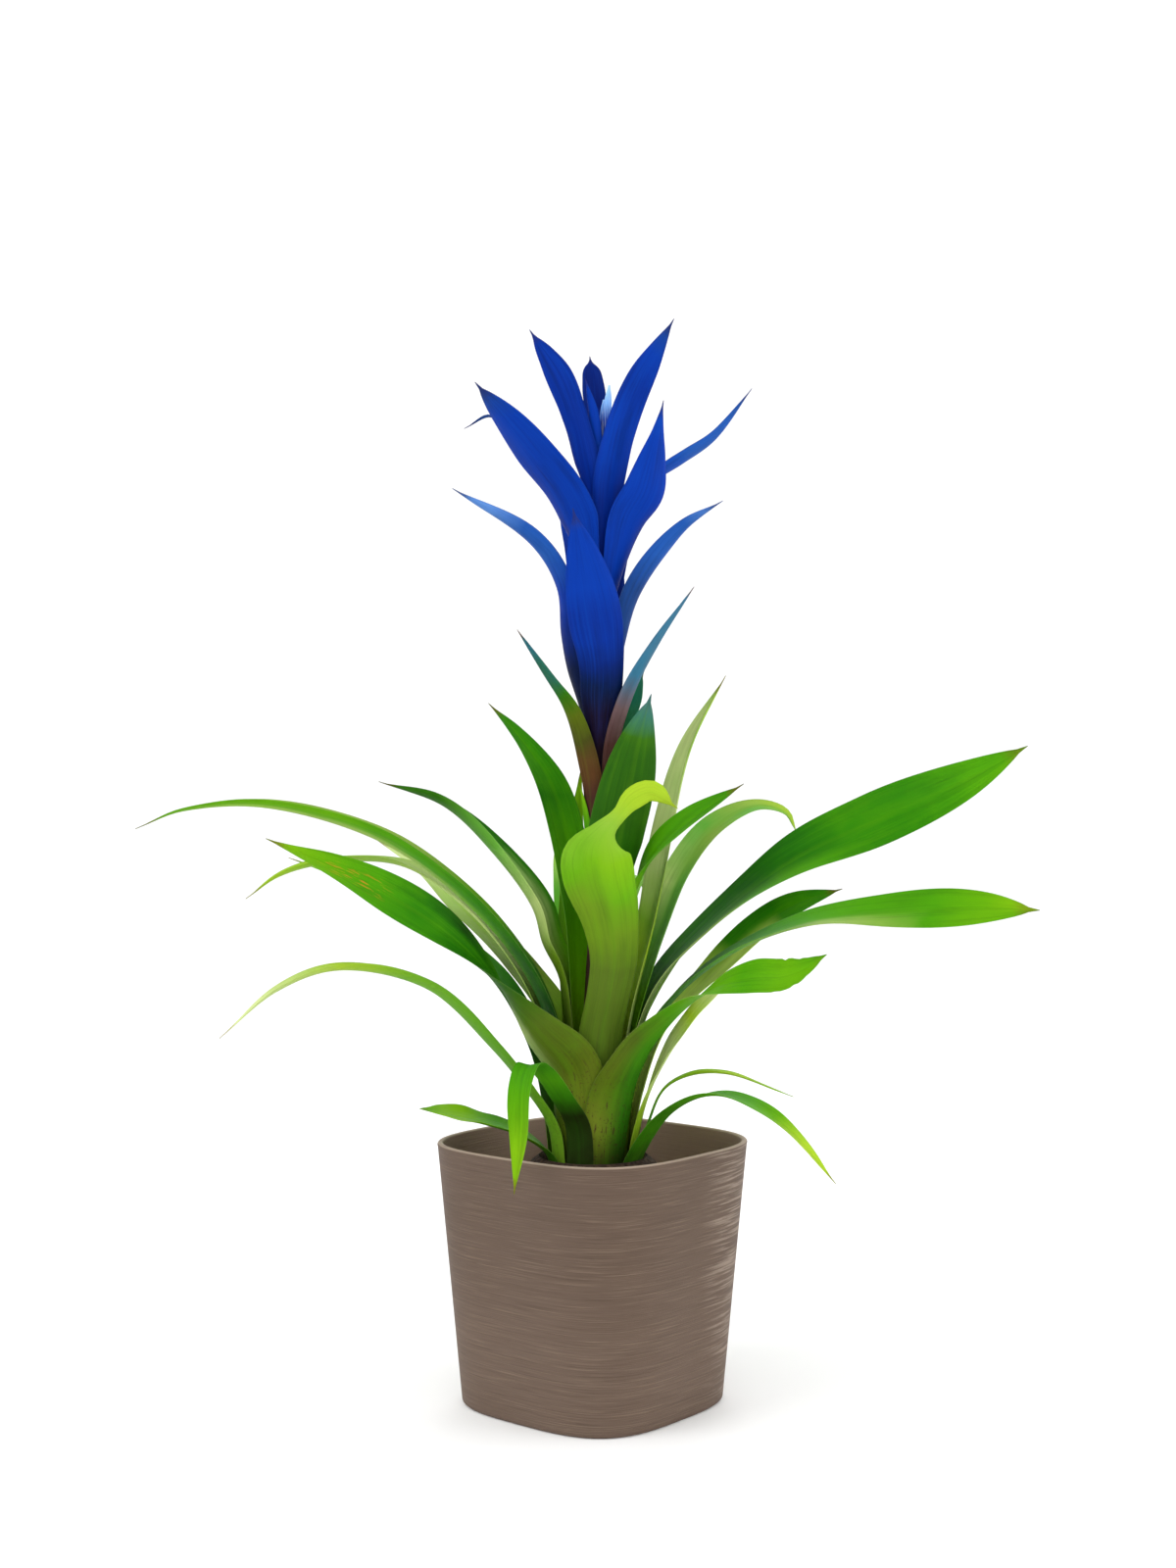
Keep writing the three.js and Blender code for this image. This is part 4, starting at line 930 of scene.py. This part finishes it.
def bark_chips(name, count, seed, sizes, surface):
    """Flat, broken chips that lie on the mix between the neck and the pot's wall."""
    draw = random.Random(seed)
    mesh = bmesh.new()
    for _ in range(count):
        radius = math.sqrt(draw.uniform(33.5 ** 2, 51.5 ** 2))
        turn = draw.uniform(0, math.tau)
        long, broad = draw.uniform(*sizes), draw.uniform(0.35, 0.7)
        corners = bmesh.ops.create_icosphere(mesh, subdivisions=2, radius=1.0)["verts"]
        shape = Vector((long, long * broad, long * draw.uniform(0.16, 0.34)))
        spot = Vector((radius * math.cos(turn), radius * math.sin(turn), mix_height(turn, radius) + 0.1))
        lean = Euler((draw.uniform(-0.5, 0.5), draw.uniform(-0.5, 0.5), draw.uniform(0, math.tau)))
        rest = Matrix.Translation(spot * MM) @ lean.to_matrix().to_4x4()
        shift = Vector((draw.uniform(0, 99), draw.uniform(0, 99), 0))
        for corner in corners:
            # push the ball towards a box, then break its outline
            bent = Vector(math.copysign(abs(c) ** 0.6, c) for c in corner.co)
            bent *= 1 + 0.28 * noise.noise(bent * 1.6 + shift)
            corner.co = rest @ (Vector(b * d for b, d in zip(bent, shape)) * MM)
    hand_over(piece_of(name, mesh), surface)


dark_bark = chip_surface("dark_bark", (0.020, 0.011, 0.007), (0.075, 0.042, 0.024))
bark_chips("bark_chips_dark", 130, 11, (1.1, 2.8), dark_bark)
light_bark = chip_surface("light_bark", (0.070, 0.040, 0.022), (0.190, 0.120, 0.070))
bark_chips("bark_chips_light", 45, 12, (0.8, 2.0), light_bark)

# Flower stem

STALK_MARKS = [(FOOT, CORE_RADIUS - 1), (FOOT + 2, CORE_RADIUS), (135, CORE_RADIUS - 0.4), (160, 6.4),
               (195, STALK_RADIUS + 0.9), (230, STALK_RADIUS + 0.3), (265, STALK_RADIUS),
               (440, STALK_RADIUS - 0.2), (STALK_TOP, STALK_RADIUS - 0.6)]


def stalk_ring(height):
    """Seven shallow ribs that turn slowly on their way up; the stalk bends over to the head's axis."""
    radius = value_between(STALK_MARKS, height)
    shift = HEAD_SHIFT * smoothstep(height, 170, 262)
    return ring(48, lambda turn: radius * (1 - 0.02 * (1 + math.cos(7 * turn + height * 0.02))), height,
                (shift, 0))


stalk = stacked_rings("stalk", [stalk_ring(lerp(FOOT, STALK_TOP, k / 120)) for k in range(121)])
hand_over(stalk, stalk_surface(), "flower_stem", PLANT)

# Florets


def bud_rings(azimuth, lean, top, radius, rows=24):
    """A closed bud with three soft ribs, which leans out from the stalk's top."""
    heading = math.radians(azimuth)
    rings = []
    for k in range(rows + 1):
        u = k / rows
        size = radius * value_along([0.6, 0.66, 0.78, 0.95, 1.0, 0.92, 0.72, 0.22], u)
        dent, out = 0.07 * smoothstep(u, 0.3, 0.9), lerp(1.9, lean, u)
        centre = (out * math.cos(heading), out * math.sin(heading))
        rings.append(ring(24, lambda turn: size * (1 - dent * abs(math.cos(1.5 * turn + azimuth))),
                          lerp(STALK_TOP + 2.4, top, u), centre))
    return rings


def floret_head():
    """Three closed buds and the small base that their feet are sunk in, as one piece."""
    buds = ((345, 5.2, 496, 2.3), (60, 4.6, 490, 1.9), (200, 3.6, 472, 1.6))
    base = [(3.2, 0), (3.45, 0.6), (3.5, 2.4), (3.3, 3.4), (2.6, 4.0), (1.2, 4.2)]
    parts = [stacked_rings("bud", bud_rings(*bud)) for bud in buds]
    parts.append(stacked_rings("bud_base", [ring(32, r, STALK_TOP + 0.4 + z) for r, z in base]))
    mesh = bmesh.new()
    for part in parts:
        mesh.from_mesh(part.data)
        bpy.data.objects.remove(part)
    return piece_of("floret_buds", mesh)


hand_over(floret_head(), floret_surface(), "florets", HEAD)

# Leaves, stem bracts and bracts

# Each leaf's tones from foot to tip, and what differs from the usual finish. A second row of tones is for
# the other half of the blade, and the split says where across one half passes into the other. Some tones
# are painted light and shade, and a comment above such a leaf says which; the near-black umbra at a foot is
# painted shade.
LEAF_LOOKS = [
    dict(tones="olive shade fresh fresh leaf deep deep deep forest deep deep forest forest forest forest "
               "petrol", brown_tip=0.1),
    # leaf_02: the light tones at the foot are painted light, which makes up for the shade that falls there
    # among the other leaves
    dict(tones="fresh bright lime bright fresh fresh deep leaf leaf"),
    dict(tones="olive lime yellow milk lime fresh fresh leaf"),
    # leaf_04: the dark tones near the tip of the first row are painted shade in the fold of the blade
    dict(tones="olive leaf fresh bright leaf deep deep leaf",
         second="olive moss moss sap milk mint deep deep", split=(0.12, 0.40)),
    dict(tones="olive bright sap bright lime bright lime leaf"),
    dict(tones="pale milk milk yellow pale milk apple yellow",
         second="pale pale yellow yellow apple milk milk milk apple", split=(0.3, 0.45), brown_tip=0.7),
    dict(tones="umbra olive olive moss moss moss sap sap bright apple yellow yellow",
         second="umbra olive moss moss moss moss sap bright lime apple yellow yellow", split=(0.3, 0.7),
         brown_tip=0.1),
    dict(tones="olive sap bright lime"),
    # leaf_09: the mint, milk and pale tones are a painted sheen
    dict(tones="lime lime bright bright mint mint pale mint apple",
         second="sap bright lime lime mint milk mint pale yellow", split=(0.4, 0.7), brown_tip=0.0),
    dict(tones="shade shade deep bright pale pale apple bright",
         second="umbra shade forest leaf fresh bright bright bright", split=(0.60, 0.74), under_pale=0.0),
    dict(tones="moss pale milk milk pale fresh fresh leaf leaf fresh bright",
         second="moss moss deep forest deep forest deep leaf leaf fresh fresh", split=(0.22, 0.48),
         brown_tip=0.4),
    dict(tones="lime bright sap moss sap pale milk milk"),
    dict(tones="umbra moss pale milk deep shade deep fresh bright lime",
         second="umbra straw olive moss forest deep leaf fresh bright lime", split=(0.15, 0.45), flecks=0.9,
         scratched=0.8),
    # leaf_14: the pale tones past the middle of the first row are a painted sheen
    dict(tones="earth sap leaf deep deep leaf pale pale fresh bright bright",
         second="earth sap fresh leaf deep leaf fresh fresh fresh bright lime", split=(0.3, 0.6),
         brown_tip=0.4),
    dict(tones="straw straw apple sap fresh bright leaf forest"),
    dict(tones="umbra straw olive moss fresh bright fresh bright bright",
         second="umbra deep deep leaf fresh bright fresh bright fresh", split=(0.3, 0.7), brown_tip=0.1,
         edge_pale=0.6, flecks=0.9),
    # leaf_17: the yellow and lemon tones are painted light, made bright where the blade lies in shade
    # between its neighbours
    dict(tones="yellow lemon lemon lemon lemon leaf leaf",
         second="yellow lemon lemon lemon leaf deep leaf"),
    dict(tones="grey sap pale milk pale lime yellow"),
    dict(tones="olive sap lime sap bright bright fresh"),
    dict(tones="umbra umbra umbra leaf fresh leaf fresh bright lime lime", under_pale=0.05, flecks=0.1,
         light=GREENS["deep"], dark=GREENS["umbra"]),
    dict(tones="straw yellow yellow milk milk yellow milk pale"),
    dict(tones="sap bright fresh fresh bright yellow milk cream", under_pale=0.2),
    dict(tones="olive leaf lime yellow lime", brown_tip=0.2),
    dict(tones="shade leaf leaf fresh fresh bright yellow yellow"),
    dict(tones="earth leaf bright bright fresh bright lime lime bright", brown_tip=0.2),
    dict(tones="olive deep shade moss sap sap bright"),
    dict(tones="sap leaf deep leaf fresh bright lime"),
    dict(tones="olive lime bright fresh fresh lime leaf"),
]
LEAF_SHAPES = {7: dict(crease=0.2), 16: dict(torn=0.3)}
STEM_BRACT_LOOKS = [
    dict(tones="moss fresh lime"),
    dict(tones="wine wine wine rust rust earth olive deep teal teal petrol petrol", light=GREENS["moss"],
         dark=GREENS["plum"]),
    # stem_bract_3: the jade and lagoon tones are painted light, made lighter where the bract lies in shade
    dict(tones="plum jade jade jade lagoon lagoon", light=GREENS["mint"], dark=GREENS["teal"]),
    dict(tones="wine wine wine rose steel steel steel steel", light=GREENS["rose"], dark=GREENS["plum"]),
]
BRACT_LOOKS = [
    dict(tones="ink ink night navy royal royal royal"),
    dict(tones="ink ink ink ink night navy marine marine royal royal royal cobalt"),
    dict(tones="night night night navy marine azure azure sky sky", edge_pale=0.6),
    dict(tones="ink night navy slate slate azure azure sky", edge_pale=0.6),
    dict(tones="night marine royal royal cobalt royal"),
    dict(tones="marine royal royal cobalt royal royal"),
    dict(tones="ink navy marine royal royal royal royal royal slate"),
    dict(tones="marine royal royal royal royal royal royal cobalt"),
    dict(tones="royal cobalt cobalt cobalt slate slate"),
    dict(tones="royal royal royal cobalt azure azure slate"),
    dict(tones="royal royal marine royal royal"),
    dict(tones="marine marine marine royal royal marine royal slate"),
    dict(tones="marine marine marine marine marine marine marine marine"),
    dict(tones="cobalt cobalt cobalt royal royal royal royal royal"),
    dict(tones="marine marine marine marine navy navy navy navy"),
]

for k, (leaf, look) in enumerate(zip(LEAVES, LEAF_LOOKS), 1):
    name = f"leaf_{k:02d}"
    made = blade_mesh(f"blade_{k:02d}", leaf, seed=k, **LEAF_SHAPES.get(k, {}))
    hand_over(made, leaf_surface(f"{name}_skin", leaf, k, **look), name, PLANT)

for k, (bract, look) in enumerate(zip(STEM_BRACTS, STEM_BRACT_LOOKS), 1):
    name = f"stem_bract_{k}"
    made = blade_mesh(f"stem_blade_{k}", bract, rows=60, columns=14, wave=0.2, crease=0.2, seed=40 + k)
    surface = leaf_surface(f"{name}_skin", bract, 40 + k, under_pale=0.03, edge_pale=0.16, brown_tip=0.7,
                           flecks=0.25, **look)
    hand_over(made, surface, name, HEAD)

for k, (bract, look) in enumerate(zip(BRACTS, BRACT_LOOKS), 1):
    name = f"bract_{k:02d}"
    made = blade_mesh(f"head_blade_{k:02d}", bract, rows=60, columns=14, wave=0.25, crease=0.2, seed=60 + k)
    hand_over(made, bract_surface(f"{name}_skin", bract, 60 + k, **look), name, HEAD)

# Studio

FLOOR_RADIUS, FLOOR_CURVE, FLOOR_WALL = 2200, 1000, 2400


def studio_floor():
    """A pale floor that curves up all round, so that no edge of it shows from any side."""
    outline = [(r, 0) for r in (20, 300, 800, 1600, FLOOR_RADIUS)]
    outline += [(FLOOR_RADIUS + FLOOR_CURVE * math.sin(t), FLOOR_CURVE * (1 - math.cos(t)))
                for t in (0.2, 0.4, 0.6, 0.8, 1.0, 1.2, 1.4, 1.57)]
    outline += [(FLOOR_RADIUS + FLOOR_CURVE, z) for z in (1600, FLOOR_WALL)]
    made = stacked_rings("studio_floor", [ring(96, r, z) for r, z in outline], close=False)
    mesh = bmesh.new()
    mesh.from_mesh(made.data)
    mesh.verts.ensure_lookup_table()
    mesh.faces.new(mesh.verts[:96])
    bmesh.ops.recalc_face_normals(mesh, faces=mesh.faces)
    bmesh.ops.reverse_faces(mesh, faces=mesh.faces)
    mesh.to_mesh(made.data)
    mesh.free()
    floor = Surface("studio_paint", 0.1)
    tone = floor.grain(3.0, 2.0)
    colour = floor.mix(tone, (0.93, 0.93, 0.93), (0.95, 0.95, 0.95))
    made.data.materials.append(floor.finish(colour, 0.9 + tone * 0.05, tone, 0.1 * MM))


studio_floor()

SIGHT = math.radians(PLANT_TURN)
RIGHT = Vector((math.cos(SIGHT), math.sin(SIGHT), 0))
AWAY = Vector((-math.sin(SIGHT), math.cos(SIGHT), 0))
CAMERA_DISTANCE, CAMERA_HEIGHT, CAMERA_ASIDE = 1008, 301, -2.4
FOCAL_PIXELS, FRAME_PIXELS, SENSOR = 2100, 1600, 36


def studio_spot(aside, away, height):
    """A place as the camera sees it: so far to the right, away and up from the object's foot."""
    return (RIGHT * aside + AWAY * away + Vector((0, 0, height))) * MM


camera_data = bpy.data.cameras.new("photo_camera")
camera_data.sensor_width = SENSOR
camera_data.lens = SENSOR * FOCAL_PIXELS / FRAME_PIXELS
camera = placed("photo_camera", camera_data)
camera.location = studio_spot(CAMERA_ASIDE, -CAMERA_DISTANCE, CAMERA_HEIGHT)
camera.rotation_euler = (math.radians(90), 0, SIGHT)
bpy.context.scene.camera = camera


def softbox(name, spot, size, power):
    """A square lamp that points at the middle of the plant."""
    data = bpy.data.lights.new(name, "AREA")
    data.size, data.energy = size * MM, power
    lamp = placed(name, data)
    lamp.location = studio_spot(*spot)
    lamp.rotation_euler = (studio_spot(0, 0, 280) - lamp.location).to_track_quat("-Z", "Y").to_euler()


softbox("key_light", (-1500, -800, 1700), 1200, 18)
softbox("fill_light", (1700, -300, 700), 1200, 10)
softbox("front_light", (100, -1800, 350), 1000, 6)
softbox("back_light", (300, 1700, 1600), 1200, 8)

world = bpy.data.worlds.new("studio_world")
world.use_nodes = True
world.node_tree.nodes["Background"].inputs["Color"].default_value = (1, 1, 1, 1)
world.node_tree.nodes["Background"].inputs["Strength"].default_value = 1.0
bpy.context.scene.world = world
bpy.context.scene.view_settings.view_transform = "Standard"
